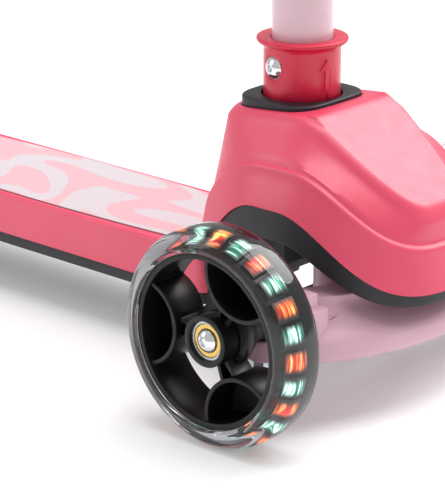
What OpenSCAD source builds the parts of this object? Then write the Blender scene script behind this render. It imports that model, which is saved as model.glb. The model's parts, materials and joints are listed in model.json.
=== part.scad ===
// Three-wheeled kick scooter for a small child, steered by leaning.
// Frame: +X forward, +Y to the rider's left, +Z up, in millimetres.
// The origin is on the floor, under the middle of the whole scooter.
// The deck, the front cover and the stem are one rigid body.  A cross beam
// pivots on a lengthwise shaft under the cover and carries both front wheels;
// as the deck leans, a pin drives the tie rod and the knuckles steer.

/* [Overall] */
// Distance from the front axle line to the rear axle
wheelbase = 450; // [410:5:520]
// Distance between the middles of the two front tyres
track = 247.6; // [240:0.2:290]
// Height of the middle of the handlebar with the upper tube pushed down
bar_height = 650; // [600:5:740]
// Half the length of the handlebar tube
bar_half = 124; // [110:1:132]

/* [Front wheels] */
// Radius of a front tyre
tyre_r = 60; // [57:0.5:63]
// Width of a front tyre
tyre_w = 29.7; // [26:0.1:32]
// Outer radius of the moulded rim that the tyre sits on
rim_r = 47.6; // [46:0.1:49]
// Wall of the rim
rim_wall = 3.2; // [2.5:0.1:4.5]
// Width of the rim
rim_w = 27; // [24:0.1:28]
// Wall round a bearing
boss_wall = 3.1; // [2.5:0.1:4]
// Width of the hub ring
boss_w = 26; // [25:0.1:27]
// Radius of the rounding of the tread
tread_round = 9; // [6:0.5:10]
// Number of light segments round a tyre
light_count = 24; // [12:2:30]

/* [Rear wheel] */
// Radius of the rear tyre
rear_r = 40; // [38:0.5:42]
// Width of the rear tyre
rear_w = 24; // [20:0.5:26]
// Outer radius of the rear rim
rear_rim_r = 30; // [28:0.5:31]

/* [Bearings] */
// Outer radius of a bearing
bearing_r = 11; // [11:0.5:12]
// Bore radius of a bearing
bearing_bore = 4.05; // [4.02:0.01:4.1]
// Width of a bearing
bearing_w = 7; // [6:0.5:8]
// Radius of the axles
axle_r = 4; // [3.9:0.01:4]

/* [Deck] */
// Half the width of the deck
deck_half = 45; // [43:0.5:60]
// Height of the top of the deck
deck_top = 65.8; // [62:0.1:70]
// Height of the seam between the deck's shell and its base
deck_seam = 40.7; // [38:0.1:44]
// Height of the underside of the deck
deck_low = 33.5; // [30:0.1:36]
// Distance from the front axle line back to the deck's front end
deck_front_back = 84; // [80:0.5:95]
// Distance from the rear axle forward to the deck's rear end
deck_rear_gap = 62; // [60:0.5:80]
// Wall of the deck's shell
deck_wall = 3; // [2:0.1:4]
// Thickness of the deck's top
deck_skin = 4; // [3:0.1:5]
// Half the width of the grip mat at its widest
mat_half = 40.5; // [34:0.5:41]
// Thickness of the grip mat
mat_t = 2.2; // [1.8:0.1:3]
// Depth of the mat's recess in the deck
mat_recess = 1.5; // [1:0.1:2]

/* [Stem] */
// Distance from the front axle line back to the stem
stem_back = 51.3; // [49:0.1:54]
// Outer radius of the lower tube
tube_r = 17.2; // [16.5:0.1:17.5]
// Wall of the steel tubes
tube_wall = 1.5; // [1.2:0.1:1.8]
// Room between the two tubes for the sleeve, measured on the radius
sleeve_wall = 1.5; // [1:0.1:2.5]
// Height of the top of the lower tube
lower_top = 430; // [390:5:460]
// Travel of the upper tube
bar_travel = 120; // [60:5:130]
// Height of the top of the collar
collar_top = 189.5; // [185:0.5:200]
// Wall of the collar
collar_wall = 4.5; // [4:0.1:5.2]
// How far the collar's flange stands out
flange_reach = 4; // [2:0.1:6]
// Turn of the collar and its bolt about the stem
collar_turn = -9; // [-12:1:12]
// Radius of the collar's cross bolt
cross_r = 3; // [2.5:0.1:3.2]

/* [Handlebar] */
// Outer radius of the handlebar tube
bar_r = 11.1; // [10.5:0.1:12]
// Outer radius of a grip
grip_r = 14.5; // [14:0.5:17]
// Distance from the middle of the bar to the start of a grip
grip_start = 41; // [38:1:50]

/* [Truck] */
// Height of the lean shaft's axis
shaft_z = 78; // [77:0.5:80]
// Radius of the lean shaft
shaft_r = 5; // [4.5:0.1:5.5]
// Distance from a kingpin's axis out to the middle of the tyre
king_offset = 35.8; // [32:0.1:40]
// Radius of a kingpin
king_r = 4; // [3.5:0.1:4.2]
// Distance from a kingpin back to the tie rod
arm_len = 30; // [29:0.5:31]
// Radius of the tie rod pins and of the drive pin
pin_r = 3; // [2.5:0.1:3.2]
// Radius of the curve of the beam's front
beam_curve = 148; // [145:1:160]
// Height of the underside of the beam
beam_low = 37; // [36:0.5:38]

/* [Cover] */
// Height of the top of the cover at its front corners
cover_top = 156.5; // [154:0.5:160]
// Wall of the cover
cover_wall = 3; // [2.5:0.1:3.5]
// Half the width of the cover at its lower edge
cover_half = 64; // [62:0.5:68]
// Depth of the step above the raised band
band_step = 3.5; // [2:0.1:4]

/* [Brake] */
// Gap between the rear tyre and the fender
fender_gap = 6; // [5.5:0.1:8]
// Thickness of the fender
fender_t = 4; // [3:0.1:5]
// Gap between the rear tyre and the brake pad
pad_gap = 3.2; // [3:0.1:4]

/* [Fits] */
// Radial clearance of a running fit
run = 0.06; // [0.03:0.01:0.1]
// Radial clearance of a fixed fit
fixed = 0.04; // [0.02:0.01:0.08]
// Gap between two mouldings
seam = 0.3; // [0.2:0.05:0.4]

/* [Hidden] */
$fn = 64;
eps = 0.01;

// Places along the scooter
fender_in = rear_r + fender_gap;
fender_out = fender_in + fender_t;
fender_from = 20;                  // lowest angle of the fender, up from straight back
fender_to = 140;                   // where the fender ends above the brake's hinge
rear_over = fender_out * cos(fender_from);
front_x = (wheelbase + rear_over - tyre_r) / 2;
rear_x = front_x - wheelbase;
stem_x = front_x - stem_back;
wheel_y = track / 2;
king_y = wheel_y - king_offset;
boss_r = bearing_r + boss_wall;

// Deck
deck_x0 = rear_x + deck_rear_gap;
deck_x1 = front_x - deck_front_back;
deck_rear_round = 30;
deck_front_round = 8;
base_inset = 1;
mat_rear_gap = 18;
mat_front_back = 108;
mat_x0 = deck_x0 + mat_rear_gap;
mat_x1 = front_x - mat_front_back;
mat_end_drop = 5;                  // how much narrower the mat is at its ends
mat_round = 22;
mat_len = mat_x1 - mat_x0;
mat_side_r = mat_len * mat_len / (8 * mat_end_drop);
screw_r = 1.75;
screw_head_r = 3.5;
screw_head_t = 2.2;
screw_sink = 0.4;                  // how deep the screw heads sit in the base
screw_bite = 15;                   // how far the front screws reach into the frame
recess_half = 2;                   // half the length of a screw's cross recess
recess_t = 0.8;
recess_depth = 1;
boss_post_r = 5;
boss_root = 0.5;
deck_screw_y = deck_half - 12;
deck_screw_rows = [deck_x0 + 34, (deck_x0 + deck_x1) / 2 - 20, deck_x1 - 60];
frame_screw_rows = [deck_x1 - 38, deck_x1 - 14];
frame_screw_y = 24;

// What all three wheels share
bearing_in = 4;                    // inner face of a bearing from the middle of its wheel
bearing_out = bearing_in + bearing_w;
axle_room = 8.5;
spacer_r = 6;
spacer_half = bearing_in - 0.05;
socket_r = 2.6;                    // hexagon socket of the axles

// Rear fork and brake
fork_in = rear_w / 2 + 3;
fork_t = 8;
fork_out = fork_in + fork_t;
fork_top = 52;
fork_end_r = 12;
fork_reach = 40;                   // how far an arm runs under the deck
brake_dx = 54;                     // brake hinge ahead of the rear axle
brake_z = 44;
brake_pin_r = 3;
brake_ear_r = 6.5;
fender_half = 20;
cheek_t = 2.5;
cheek_drop = 8;
pad_half = 9;

// Stem
collar_r = tube_r + collar_wall;
flange_r = collar_r + flange_reach;
upper_r = tube_r - tube_wall - sleeve_wall;
frame_bore = tube_r + fixed;
seat_depth = 1.1;                  // flat seats cut into the collar for the bolt and its nut
face_gap = 0.05;                   // gap between two faces that are pressed together
nut_r = 5.6;
tower_r = collar_r + 0.8;
collar_low = 150.4;
tower_top = collar_low - 0.4;
tube_low = 96;
bolt_z = collar_top - 15.2;
tube_overlap = 60;                 // what stays inside the lower tube with the bar raised
upper_low = lower_top - bar_travel - tube_overlap;
head_seat = 14;                    // from the upper tube's end up to the bar's axis
upper_top = bar_height - head_seat;
sleeve_len = 40;
clamp_h = 26;
clamp_ear_half = 7;
clamp_drop = 4;                    // how far the clamp sits below the tube's end
clamp_z = lower_top - clamp_drop - clamp_h;
clamp_wall = 4.3;
clamp_r = tube_r + clamp_wall;
lever_z = clamp_z + clamp_h / 2;
lever_back = 29;
lever_x = stem_x - lever_back;
lever_y = 15.2;
lever_pin_r = 2.5;
lever_pin_half = 10;
lever_angle = 25;
lever_len = 58;

// Truck
beam_back = 94;                    // centre of the beam's curve behind the front axle
bow_top = 69;
bow_floor = 55;                    // height where the upper bar of the bow starts
bow_setback = 20;                  // how far the top of the beam's front sits back
rod_low = 44.7;
rod_t = 5;
knuckle_low = rod_low + rod_t + seam + 0.3;
knuckle_top = 70;
ear_top = 76;
hub_r = 12.5;
hub_back = 20;
hub_front = 28;
bush_r = 7.5;
bush_len = 12;
buffer_x = front_x - 2;
buffer_y = 30;
buffer_r = 8;
pad_top = 80;
wing_low = 100.3;

// Cover.  Distances along X in this group are measured from the front axle line.
cover_mid = -20;
top_front = -15;                   // where the top turns into the front slope
top_slope = 0.68;
rear_fall = 0.09;
band_top = 131;
band_nose = 90;
band_turn = -18;                   // where the band's edge is highest
band_run = 84;
band_from = -100;
band_tail = 5;
arch_top = 109.5;
nose_low = 68;
arch_turn = -14;                   // where the lower edge is highest
arch_run = 78;
arch_from = -78;
arch_climb = 47;
lip_side = 17;
lip_nose = 4;
lip_run = 75;
lip_from = -80;
lip_climb = 24;
edge_front = 80;
edge_rear = 86;
band_front = 76;
band_rear = 83;
band_in = 8;                       // how much narrower the band is than the lower edge
crest_front = 70;
crest_rear = 64;
crest_half = 37.5;
crest_taper = 0.0035;
crest_round = 4;
top_steps = 6;                     // rings from the crest to the hole round the stem
cover_steps = 72;
hole_long = 26.5;
hole_half = 30;

// ---------- small helpers ----------

function mix(a, b, t) = a + (b - a) * t;
function clip01(t) = min(1, max(0, t));
function ease(t) = let (u = clip01(t)) u * u * (3 - 2 * u);
function signed_pow(v, p) = sign(v) * pow(abs(v), p);

module x_rod(x0, x1, y, z, r) {
    translate([x0, y, z]) rotate([0, 90, 0]) cylinder(r = r, h = x1 - x0);
}

module y_rod(x, y0, y1, z, r) {
    translate([x, y0, z]) rotate([-90, 0, 0]) cylinder(r = r, h = y1 - y0);
}

module z_rod(x, y, z0, z1, r) {
    translate([x, y, z0]) cylinder(r = r, h = z1 - z0);
}

module block(x0, x1, y0, y1, z0, z1) {
    translate([x0, y0, z0]) cube([x1 - x0, y1 - y0, z1 - z0]);
}

// Flat plate that is the same on both sides of the middle
module slab(x0, x1, half, z0, z1) {
    block(x0, x1, -half, half, z0, z1);
}

// Outline with round corners, its rear and front radii set apart
module round_plan(x0, x1, half, rear_round, front_round) {
    translate([x0 + rear_round, -half])
        square([x1 - x0 - rear_round - front_round, 2 * half]);
    translate([x0, rear_round - half]) square([rear_round + eps, 2 * (half - rear_round)]);
    translate([x1 - front_round - eps, front_round - half])
        square([front_round + eps, 2 * (half - front_round)]);
    for (s = [-1, 1]) {
        translate([x0 + rear_round, s * (half - rear_round)]) circle(r = rear_round);
        translate([x1 - front_round, s * (half - front_round)]) circle(r = front_round);
    }
}

module round_slab(x0, x1, half, rear_round, front_round, z0, z1) {
    translate([0, 0, z0]) linear_extrude(z1 - z0)
        round_plan(x0, x1, half, rear_round, front_round);
}

// Closed skin through rings of points; the last ring joins the first one
module ring_skin(rings) {
    n = len(rings[0]);
    m = len(rings);
    points = [for (ring = rings) for (p = ring) p];
    faces = [
        for (k = [0 : m - 1]) for (i = [0 : n - 1])
            let (j = (i + 1) % n, a = k * n, b = ((k + 1) % m) * n)
            each [[a + i, b + i, b + j], [a + i, b + j, a + j]]
    ];
    polyhedron(points = points, faces = faces, convexity = 10);
}

// ---------- deck ----------

module mat_plan(grow) {
    intersection() {
        round_plan(mat_x0 - grow, mat_x1 + grow, mat_half + grow, mat_round, mat_round);
        translate([(mat_x0 + mat_x1) / 2, mat_side_r - mat_half - grow])
            circle(r = mat_side_r, $fn = 256);
        translate([(mat_x0 + mat_x1) / 2, mat_half + grow - mat_side_r])
            circle(r = mat_side_r, $fn = 256);
    }
}

module deck_shell() {
    inner = deck_half - deck_wall;
    slot_reach = 11;
    boss_top = deck_top - deck_skin;
    hole_end = 3;                  // blind holes stop this far below the deck's skin
    color("#E8587A") {
        difference() {
            round_slab(deck_x0, deck_x1, deck_half, deck_rear_round, deck_front_round,
                deck_seam, deck_top);
            round_slab(deck_x0 + deck_wall, deck_x1 + 1, inner, deck_rear_round - deck_wall,
                deck_front_round - deck_wall, deck_seam - 1, deck_top - deck_skin);
            translate([0, 0, deck_top - mat_recess]) linear_extrude(mat_recess + 1)
                mat_plan(seam);
            // slots for the fork arms
            for (s = [-1, 1]) {
                y0 = s > 0 ? fork_in : -fork_out;
                block(deck_x0 - 1, deck_x0 + deck_wall + slot_reach, y0 - seam,
                    y0 + fork_t + seam, deck_seam - 1, fork_top + seam);
            }
        }
        for (x = deck_screw_rows) for (s = [-1, 1]) difference() {
            z_rod(x, s * deck_screw_y, deck_seam + seam, boss_top + boss_root, boss_post_r);
            z_rod(x, s * deck_screw_y, deck_seam - 1, boss_top - hole_end, screw_r + fixed);
        }
    }
}

module deck_mat() {
    color("#F3D3DC")
        translate([0, 0, deck_top - mat_recess]) linear_extrude(mat_t) mat_plan(0);
}

module deck_base() {
    rib_y = 10;
    rib_half = 1.5;
    rib_gap = 2;                   // from a rib up to the tread's skin
    rib_front_gap = 52;
    color("#2B2B31") difference() {
        union() {
            round_slab(deck_x0 + base_inset, deck_x1 - base_inset, deck_half - base_inset,
                deck_rear_round - base_inset, deck_front_round - base_inset,
                deck_low, deck_seam);
            for (s = [-1, 1]) {
                y0 = s > 0 ? fork_in : -fork_out;
                block(rear_x, deck_x0 + fork_reach, y0, y0 + fork_t, deck_low, fork_top);
                y_rod(rear_x, y0, y0 + fork_t, rear_r, fork_end_r);
            }
            // long stiffening ribs under the tread
            for (s = [-1, 1])
                block(deck_x0 + fork_reach - eps, deck_x1 - rib_front_gap,
                    s * rib_y - rib_half, s * rib_y + rib_half,
                    deck_seam - eps, deck_top - deck_skin - rib_gap);
        }
        y_rod(rear_x, -fork_out - 1, fork_out + 1, rear_r, axle_r + fixed);
        y_rod(rear_x + brake_dx, -fork_out - 1, fork_out + 1, brake_z, brake_pin_r + fixed);
        for (x = deck_screw_rows) for (s = [-1, 1]) screw_hole(x, s * deck_screw_y);
        for (x = frame_screw_rows) for (s = [-1, 1]) screw_hole(x, s * frame_screw_y);
    }
}

module screw_hole(x, y) {
    z_rod(x, y, deck_low - 1, deck_seam + 1, screw_r + 0.2);
    z_rod(x, y, deck_low - 1, deck_low + screw_sink + screw_head_t, screw_head_r + seam);
}

module screw(x, y, top) {
    difference() {
        union() {
            z_rod(x, y, deck_low + screw_sink, deck_low + screw_sink + screw_head_t,
                screw_head_r);
            z_rod(x, y, deck_low + screw_sink, top, screw_r);
        }
        // cross recess
        for (turn = [0, 90]) translate([x, y, deck_low]) rotate(turn)
            slab(-recess_half, recess_half, recess_t / 2, 0, screw_sink + recess_depth);
    }
}

module deck_screws() {
    color("#B9BCC2") {
        for (x = deck_screw_rows) for (s = [-1, 1])
            screw(x, s * deck_screw_y, deck_top - deck_skin - boss_post_r);
        for (x = frame_screw_rows) for (s = [-1, 1])
            screw(x, s * frame_screw_y, deck_seam + screw_bite);
    }
}

// ---------- structure under the cover ----------

module front_frame() {
    tongue_low = 48;
    tongue_top = deck_top - deck_skin - seam;
    tongue_reach = 46;
    tongue_half = 36;
    wall_back = front_x - 82;      // upright wall in front of the deck
    wall_t = 22;
    wall_high = 104;
    tower_back = front_x - 64;     // block under the stem's tower
    tower_t = 20;
    tower_half = 22;
    tower_low = 62;
    tower_high = 112;
    spine_low = 96;                // bar that reaches forward over the beam
    spine_high = 108;
    spine_half = 12;
    plate_back = front_x + 32;     // front bearing plate of the lean shaft
    plate_front = front_x + 40;
    plate_low = 70;
    wing_back = front_x - 16;      // wings that press on the buffers
    wing_front = front_x + 12;
    wing_half = 42;
    wing_t = 5.7;
    post_half = 7;                 // post that holds the drive pin
    post_top = 66;
    color("#2B2B31") difference() {
        union() {
            slab(deck_x1 - tongue_reach, wall_back + wall_t - 2, tongue_half,
                tongue_low, tongue_top);
            slab(wall_back, wall_back + wall_t, tower_half, tongue_top - eps, wall_high);
            slab(tower_back, tower_back + tower_t, tower_half, tower_low, tower_high);
            z_rod(stem_x, 0, tube_low - 4, tower_top, tower_r);
            slab(tower_back + tower_t - 2, plate_front, spine_half, spine_low, spine_high);
            slab(plate_back, plate_front, spine_half + eps, plate_low, spine_high - eps);
            slab(wing_back, wing_front, wing_half, wing_low, wing_low + wing_t);
            slab(tower_back, front_x - arm_len + post_half, post_half, tower_low, post_top);
            for (x = frame_screw_rows) for (s = [-1, 1])
                z_rod(x, s * frame_screw_y, deck_seam + seam, tongue_low + eps, boss_post_r);
        }
        z_rod(stem_x, 0, tube_low - seam, tower_top + 1, frame_bore);
        x_rod(wall_back - 8, plate_front + 10, 0, shaft_z, shaft_r + fixed);
        z_rod(front_x - arm_len, 0, rod_low, post_top + 4, pin_r + fixed);
        for (x = frame_screw_rows) for (s = [-1, 1])
            z_rod(x, s * frame_screw_y, deck_seam - 1, deck_seam + screw_bite + 2,
                screw_r + fixed);
    }
}

module lean_shaft() {
    shaft_back = 84;
    shaft_front = 44;
    head_t = 3.9;
    color("#A9ADB3") {
        x_rod(front_x - shaft_back, front_x + shaft_front, 0, shaft_z, shaft_r);
        x_rod(front_x + shaft_front - head_t, front_x + shaft_front, 0, shaft_z, shaft_r + 3);
    }
}

module drive_pin() {
    below = 1.5;
    head_from = 66.1;
    head_t = 2.3;
    color("#A9ADB3") {
        z_rod(front_x - arm_len, 0, rod_low - below, head_from + eps, pin_r);
        z_rod(front_x - arm_len, 0, head_from, head_from + head_t, pin_r + 2.5);
    }
}

// ---------- cover and liner ----------

// Outline point at one angle: superellipse with a front and a rear reach
function plan_point(a, front, rear, half, power, taper) =
    let (c = signed_pow(cos(a), 2 / power), s = signed_pow(sin(a), 2 / power),
         x = cover_mid + c * (c > 0 ? front : rear))
    [x, s * half * (1 - taper * max(0, x - cover_mid))];

// Height of the cover's top surface
function top_z(x) =
    let (past = max(0, x - top_front), before = max(0, top_front - x))
    cover_top - top_slope * past - rear_fall * before;

// Height of the edge where the raised band ends
function band_z(x) = x > band_turn
    ? mix(band_top, band_nose, pow(ease((x - band_turn) / band_run), 1.25))
    : mix(deck_top + band_tail, band_top,
          1 - pow(1 - clip01((x - band_from) / (band_turn - 4 - band_from)), 2.6));

// Height of the cover's lower edge: on the deck at the rear, over the beam, low at the nose
function edge_z(x) = x > arch_turn
    ? mix(arch_top, nose_low, ease((x - arch_turn) / arch_run))
    : mix(deck_top + seam, arch_top, ease(pow(clip01((x - arch_from) / arch_climb), 0.6)));

// How far the liner shows below the cover's edge
function lip_h(x) = mix(lip_side, lip_nose, ease(x / lip_run))
    * ease((x - lip_from) / lip_climb);

// Rings of the cover from its lower edge upwards; inset thins every outline evenly
function edge_ring(inset, dz) = [for (i = [0 : cover_steps - 1])
    let (p = plan_point(360 * i / cover_steps, edge_front - inset, edge_rear - inset,
             cover_half - inset, 2.6, 0))
    [front_x + p[0], p[1], edge_z(p[0]) + dz]];

function band_ring(inset, dz) = [for (i = [0 : cover_steps - 1])
    let (p = plan_point(360 * i / cover_steps, band_front - inset, band_rear - inset,
             cover_half - band_in - inset, 2.7, 0))
    [front_x + p[0], p[1], band_z(p[0]) + dz]];

function crest_ring(inset, dz) = [for (i = [0 : cover_steps - 1])
    let (p = plan_point(360 * i / cover_steps, crest_front - inset, crest_rear - inset,
             crest_half - inset, 4, crest_taper))
    [front_x + p[0], p[1], top_z(p[0]) + dz]];

function mid_ring(a, b, t) = [for (i = [0 : cover_steps - 1]) mix(a[i], b[i], t)];

// Outline of the hole round the stem, from the front axle line and the middle
function hole_point(a, grow) = [
    (hole_long + grow) * signed_pow(cos(a), 2 / 4) - stem_back,
    (hole_half + grow) * signed_pow(sin(a), 2 / 4)];

function hole_ring(grow, dz) = [for (i = [0 : cover_steps - 1])
    let (p = hole_point(360 * i / cover_steps, grow))
    [front_x + p[0], p[1], top_z(p[0]) + dz]];

// Ring on the top surface, part of the way from the crest to the hole
function top_ring(t, dz) = let (out = crest_ring(crest_round, 0), hole = hole_ring(seam, 0))
    [for (p = mid_ring(out, hole, t)) [p[0], p[1], top_z(p[0] - front_x) + dz]];

module front_cover() {
    outer_band = band_ring(0, -3);
    lower_flank = band_ring(band_step, 1);
    upper_flank = crest_ring(-2, -5.5);
    inner_flank = band_ring(band_step + cover_wall, -2);
    inner_crest = crest_ring(cover_wall, -cover_wall - 4);
    color("#E8587A") ring_skin([
        edge_ring(0, 0),
        mid_ring(edge_ring(0, 0), outer_band, 0.5),
        outer_band,
        band_ring(1.2, 0),
        lower_flank,
        mid_ring(lower_flank, upper_flank, 0.5),
        upper_flank,
        crest_ring(0.9, -1.4),
        for (k = [0 : top_steps]) top_ring(k / top_steps, 0),
        for (k = [top_steps : -1 : 0]) top_ring(k / top_steps, -cover_wall - 0.5),
        inner_crest,
        mid_ring(inner_crest, inner_flank, 0.5),
        inner_flank,
        edge_ring(cover_wall, 0)
    ]);
}

module front_liner() {
    liner_wall = 2.4;
    step_in = 1.4;                 // the liner's rim is this far inside the cover's edge
    share = 0.3;                   // how far up the inside of the skirt the liner reaches
    outer = cover_wall + seam;
    inner = outer + liner_wall;
    color("#2B2B31") ring_skin([
        [for (p = edge_ring(step_in, 0)) [p[0], p[1], p[2] - lip_h(p[0] - front_x)]],
        edge_ring(step_in, -seam),
        edge_ring(outer, -seam),
        mid_ring(edge_ring(outer, 0), band_ring(band_step + outer, -2), share),
        mid_ring(edge_ring(inner, 0), band_ring(band_step + inner, -2), share),
        [for (p = edge_ring(outer + 0.8, 0)) [p[0], p[1], p[2] - lip_h(p[0] - front_x)]]
    ]);
}

// Black surround of the stem, filling the hole in the cover
module stem_bezel() {
    bezel_top = cover_top + 1;
    bezel_low = 148;
    color("#2B2B31") difference() {
        translate([front_x, 0, bezel_low]) linear_extrude(bezel_top - bezel_low)
            polygon([for (i = [0 : cover_steps - 1]) hole_point(360 * i / cover_steps, 0)]);
        z_rod(stem_x, 0, bezel_low - 1, bezel_top + 1, tower_r + seam);
    }
}

// ---------- stem ----------

module at_collar() {
    translate([stem_x, 0, 0]) rotate(collar_turn) children();
}

module cross_bore() {
    y_rod(0, -2 * collar_r, 2 * collar_r, bolt_z, cross_r + 0.1);
}

module stem_collar() {
    seat_r = 6.9;
    flange_t = 2.6;
    fillet = flange_r - collar_r;
    arrow_z = collar_low + 11.8;
    arrow_rise = 1.1;
    arrow_turn = -3.5;             // of the arrow from the plane square to the bolt
    arrow_len = 18.1;
    arrow_neck = 11.8;             // where the shaft of the arrow meets its head
    arrow_half = 4.2;
    shaft_half = 1.2;
    color("#D93A62") at_collar() difference() {
        union() {
            z_rod(0, 0, collar_low, collar_top, collar_r);
            z_rod(0, 0, collar_top - flange_t, collar_top, flange_r);
            // flare under the flange
            translate([0, 0, collar_top - flange_t - fillet]) rotate_extrude() difference() {
                translate([collar_r - 1, 0]) square([fillet + 1, fillet + eps]);
                translate([flange_r, 0]) circle(r = fillet);
            }
            // raised arrow
            intersection() {
                z_rod(0, 0, collar_low, collar_top, collar_r + arrow_rise);
                rotate(arrow_turn) translate([collar_r - 2, 0, arrow_z])
                    rotate([90, 0, 90]) linear_extrude(6)
                    polygon([[-shaft_half, 0], [shaft_half, 0], [shaft_half, arrow_neck],
                        [arrow_half, arrow_neck], [0, arrow_len], [-arrow_half, arrow_neck],
                        [-shaft_half, arrow_neck]]);
            }
        }
        z_rod(0, 0, collar_low - 1, collar_top + 1, tube_r + fixed);
        cross_bore();
        // seats for the bolt's head and its nut
        y_rod(0, -2 * collar_r, seat_depth - collar_r, bolt_z, seat_r);
        y_rod(0, collar_r - seat_depth, 2 * collar_r, bolt_z, seat_r);
    }
}

module collar_bolt() {
    head_from = seat_depth - collar_r;
    head_r = 6.4;
    head_t = 3.35;
    dome_r = 8;
    socket_r = 2.2;
    socket_depth = 1.9;
    color("#D8DADD") at_collar() difference() {
        union() {
            y_rod(0, head_from - 1, collar_r + 1, bolt_z, cross_r);
            intersection() {
                y_rod(0, head_from - face_gap - head_t, head_from - face_gap, bolt_z, head_r);
                translate([0, head_from - face_gap - head_t + dome_r, bolt_z])
                    sphere(r = dome_r);
            }
        }
        translate([0, head_from - head_t - 1, bolt_z]) rotate([-90, 0, 0])
            cylinder(r = socket_r, h = socket_depth + 1, $fn = 6);
    }
}

module collar_nut() {
    color("#D8DADD") at_collar() difference() {
        translate([0, collar_r - seat_depth + 2 * face_gap, bolt_z]) rotate([-90, 0, 0])
            cylinder(r = nut_r, h = 3.6, $fn = 6);
        y_rod(0, collar_r - 2, collar_r + 4, bolt_z, cross_r + fixed);
    }
}

module tube(r, wall, z0, z1) {
    difference() {
        z_rod(stem_x, 0, z0, z1, r);
        z_rod(stem_x, 0, z0 - 1, z1 + 1, r - wall);
    }
}

module lower_tube() {
    color("#E9CDD6") difference() {
        tube(tube_r, tube_wall, tube_low, lower_top);
        at_collar() cross_bore();
    }
}

module tube_sleeve() {
    rim_t = 2.9;                   // rim that rests on the end of the lower tube
    rest = lower_top + 0.1;
    sleeve_r = tube_r - tube_wall - fixed;
    color("#2B2B31") difference() {
        union() {
            z_rod(stem_x, 0, lower_top - sleeve_len, rest, sleeve_r);
            z_rod(stem_x, 0, rest, rest + rim_t, tube_r);
        }
        z_rod(stem_x, 0, lower_top - sleeve_len - 1, rest + rim_t + 1, upper_r + run);
    }
}

module tube_clamp() {
    ear_half = clamp_ear_half;
    ear_back = 6;
    slit_half = 0.8;
    color("#2B2B31") difference() {
        union() {
            z_rod(stem_x, 0, clamp_z, clamp_z + clamp_h, clamp_r);
            slab(lever_x - ear_back, stem_x - 10, ear_half, clamp_z, clamp_z + clamp_h);
        }
        z_rod(stem_x, 0, clamp_z - 1, clamp_z + clamp_h + 1, tube_r + fixed);
        slab(lever_x - ear_back - 2, stem_x - tube_r + 2, slit_half, clamp_z - 1,
            clamp_z + clamp_h + 1);
        y_rod(lever_x, -12, 12, lever_z, cross_r + 0.1);
    }
}

module clamp_bolt() {
    head_t = 3.5;
    head_from = -clamp_ear_half - 0.1 - head_t;
    eye_half = 3.5;
    eye_r = 5;
    color("#A9ADB3") difference() {
        union() {
            y_rod(lever_x, head_from, lever_y, lever_z, cross_r);
            translate([lever_x, head_from, lever_z]) rotate([-90, 0, 0])
                cylinder(r = nut_r, h = head_t, $fn = 6);
            z_rod(lever_x, lever_y, lever_z - eye_half, lever_z + eye_half, eye_r);
        }
        z_rod(lever_x, lever_y, lever_z - 2 * eye_half, lever_z + 2 * eye_half,
            lever_pin_r + fixed);
    }
}

module lever_pin() {
    color("#A9ADB3")
        z_rod(lever_x, lever_y, lever_z - lever_pin_half, lever_z + lever_pin_half,
            lever_pin_r);
}

module clamp_lever() {
    cam_r = 7;
    cam_half = 9;
    blade_t = 5.2;
    blade_half = 8;
    tip_at = lever_len - 6;
    room_half = 4;
    color("#2B2B31") translate([lever_x, lever_y, lever_z]) rotate(lever_angle) difference() {
        union() {
            z_rod(0, 0, -cam_half, cam_half, cam_r);
            block(0, tip_at, cam_r - blade_t, cam_r, -blade_half, blade_half);
            z_rod(tip_at, cam_r - blade_t / 2, -blade_half, blade_half, blade_t / 2);
        }
        // room for the eye of the bolt
        block(-cam_r - 1, cam_r + 1, -cam_r - 2, cam_r + 4, -room_half, room_half);
        z_rod(0, 0, -lever_pin_half, lever_pin_half, lever_pin_r + run);
    }
}

module upper_tube() {
    color("#E9CDD6") tube(upper_r, tube_wall, upper_low, upper_top);
}

// ---------- handlebar ----------

module bar_head() {
    head_wall = 4;
    head_half = 25;
    lip_wall = 2.4;
    lip_len = 3;
    socket_len = 22;
    color("#2B2B31") difference() {
        union() {
            z_rod(stem_x, 0, upper_top - socket_len, bar_height, upper_r + head_wall);
            y_rod(stem_x, -head_half, head_half, bar_height, bar_r + head_wall);
            y_rod(stem_x, -head_half - lip_len, head_half + lip_len, bar_height, bar_r + lip_wall);
        }
        z_rod(stem_x, 0, upper_top - socket_len - 1, upper_top, upper_r + fixed);
        y_rod(stem_x, -head_half - lip_len - 2, head_half + lip_len + 2, bar_height,
            bar_r + fixed);
    }
}

module handlebar() {
    color("#E9CDD6") difference() {
        y_rod(stem_x, -bar_half, bar_half, bar_height, bar_r);
        y_rod(stem_x, -bar_half - 1, bar_half + 1, bar_height, bar_r - tube_wall);
    }
}

// Soft grip with a flange at each end and shallow ribs, made for +Y and mirrored
module grip(side) {
    grip_end = bar_half + 3;
    inner_flange_t = 4;
    inner_flange = 5;
    outer_flange_t = 5;
    outer_flange = 3.5;
    rib_count = 9;
    rib_from = grip_start + 7;
    rib_t = 2.5;
    rib_rise = 1;
    rib_pitch = (grip_end - grip_start - 16) / rib_count;
    color("#E8587A") mirror([0, side < 0 ? 1 : 0, 0]) difference() {
        union() {
            y_rod(stem_x, grip_start, grip_end, bar_height, grip_r);
            y_rod(stem_x, grip_start, grip_start + inner_flange_t, bar_height,
                grip_r + inner_flange);
            y_rod(stem_x, grip_end - outer_flange_t, grip_end, bar_height,
                grip_r + outer_flange);
            for (i = [0 : rib_count - 1])
                y_rod(stem_x, rib_from + i * rib_pitch, rib_from + i * rib_pitch + rib_t,
                    bar_height, grip_r + rib_rise);
        }
        y_rod(stem_x, grip_start - 1, bar_half + seam, bar_height, bar_r + fixed);
    }
}

module left_grip() { grip(1); }
module right_grip() { grip(-1); }

// ---------- truck ----------

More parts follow.
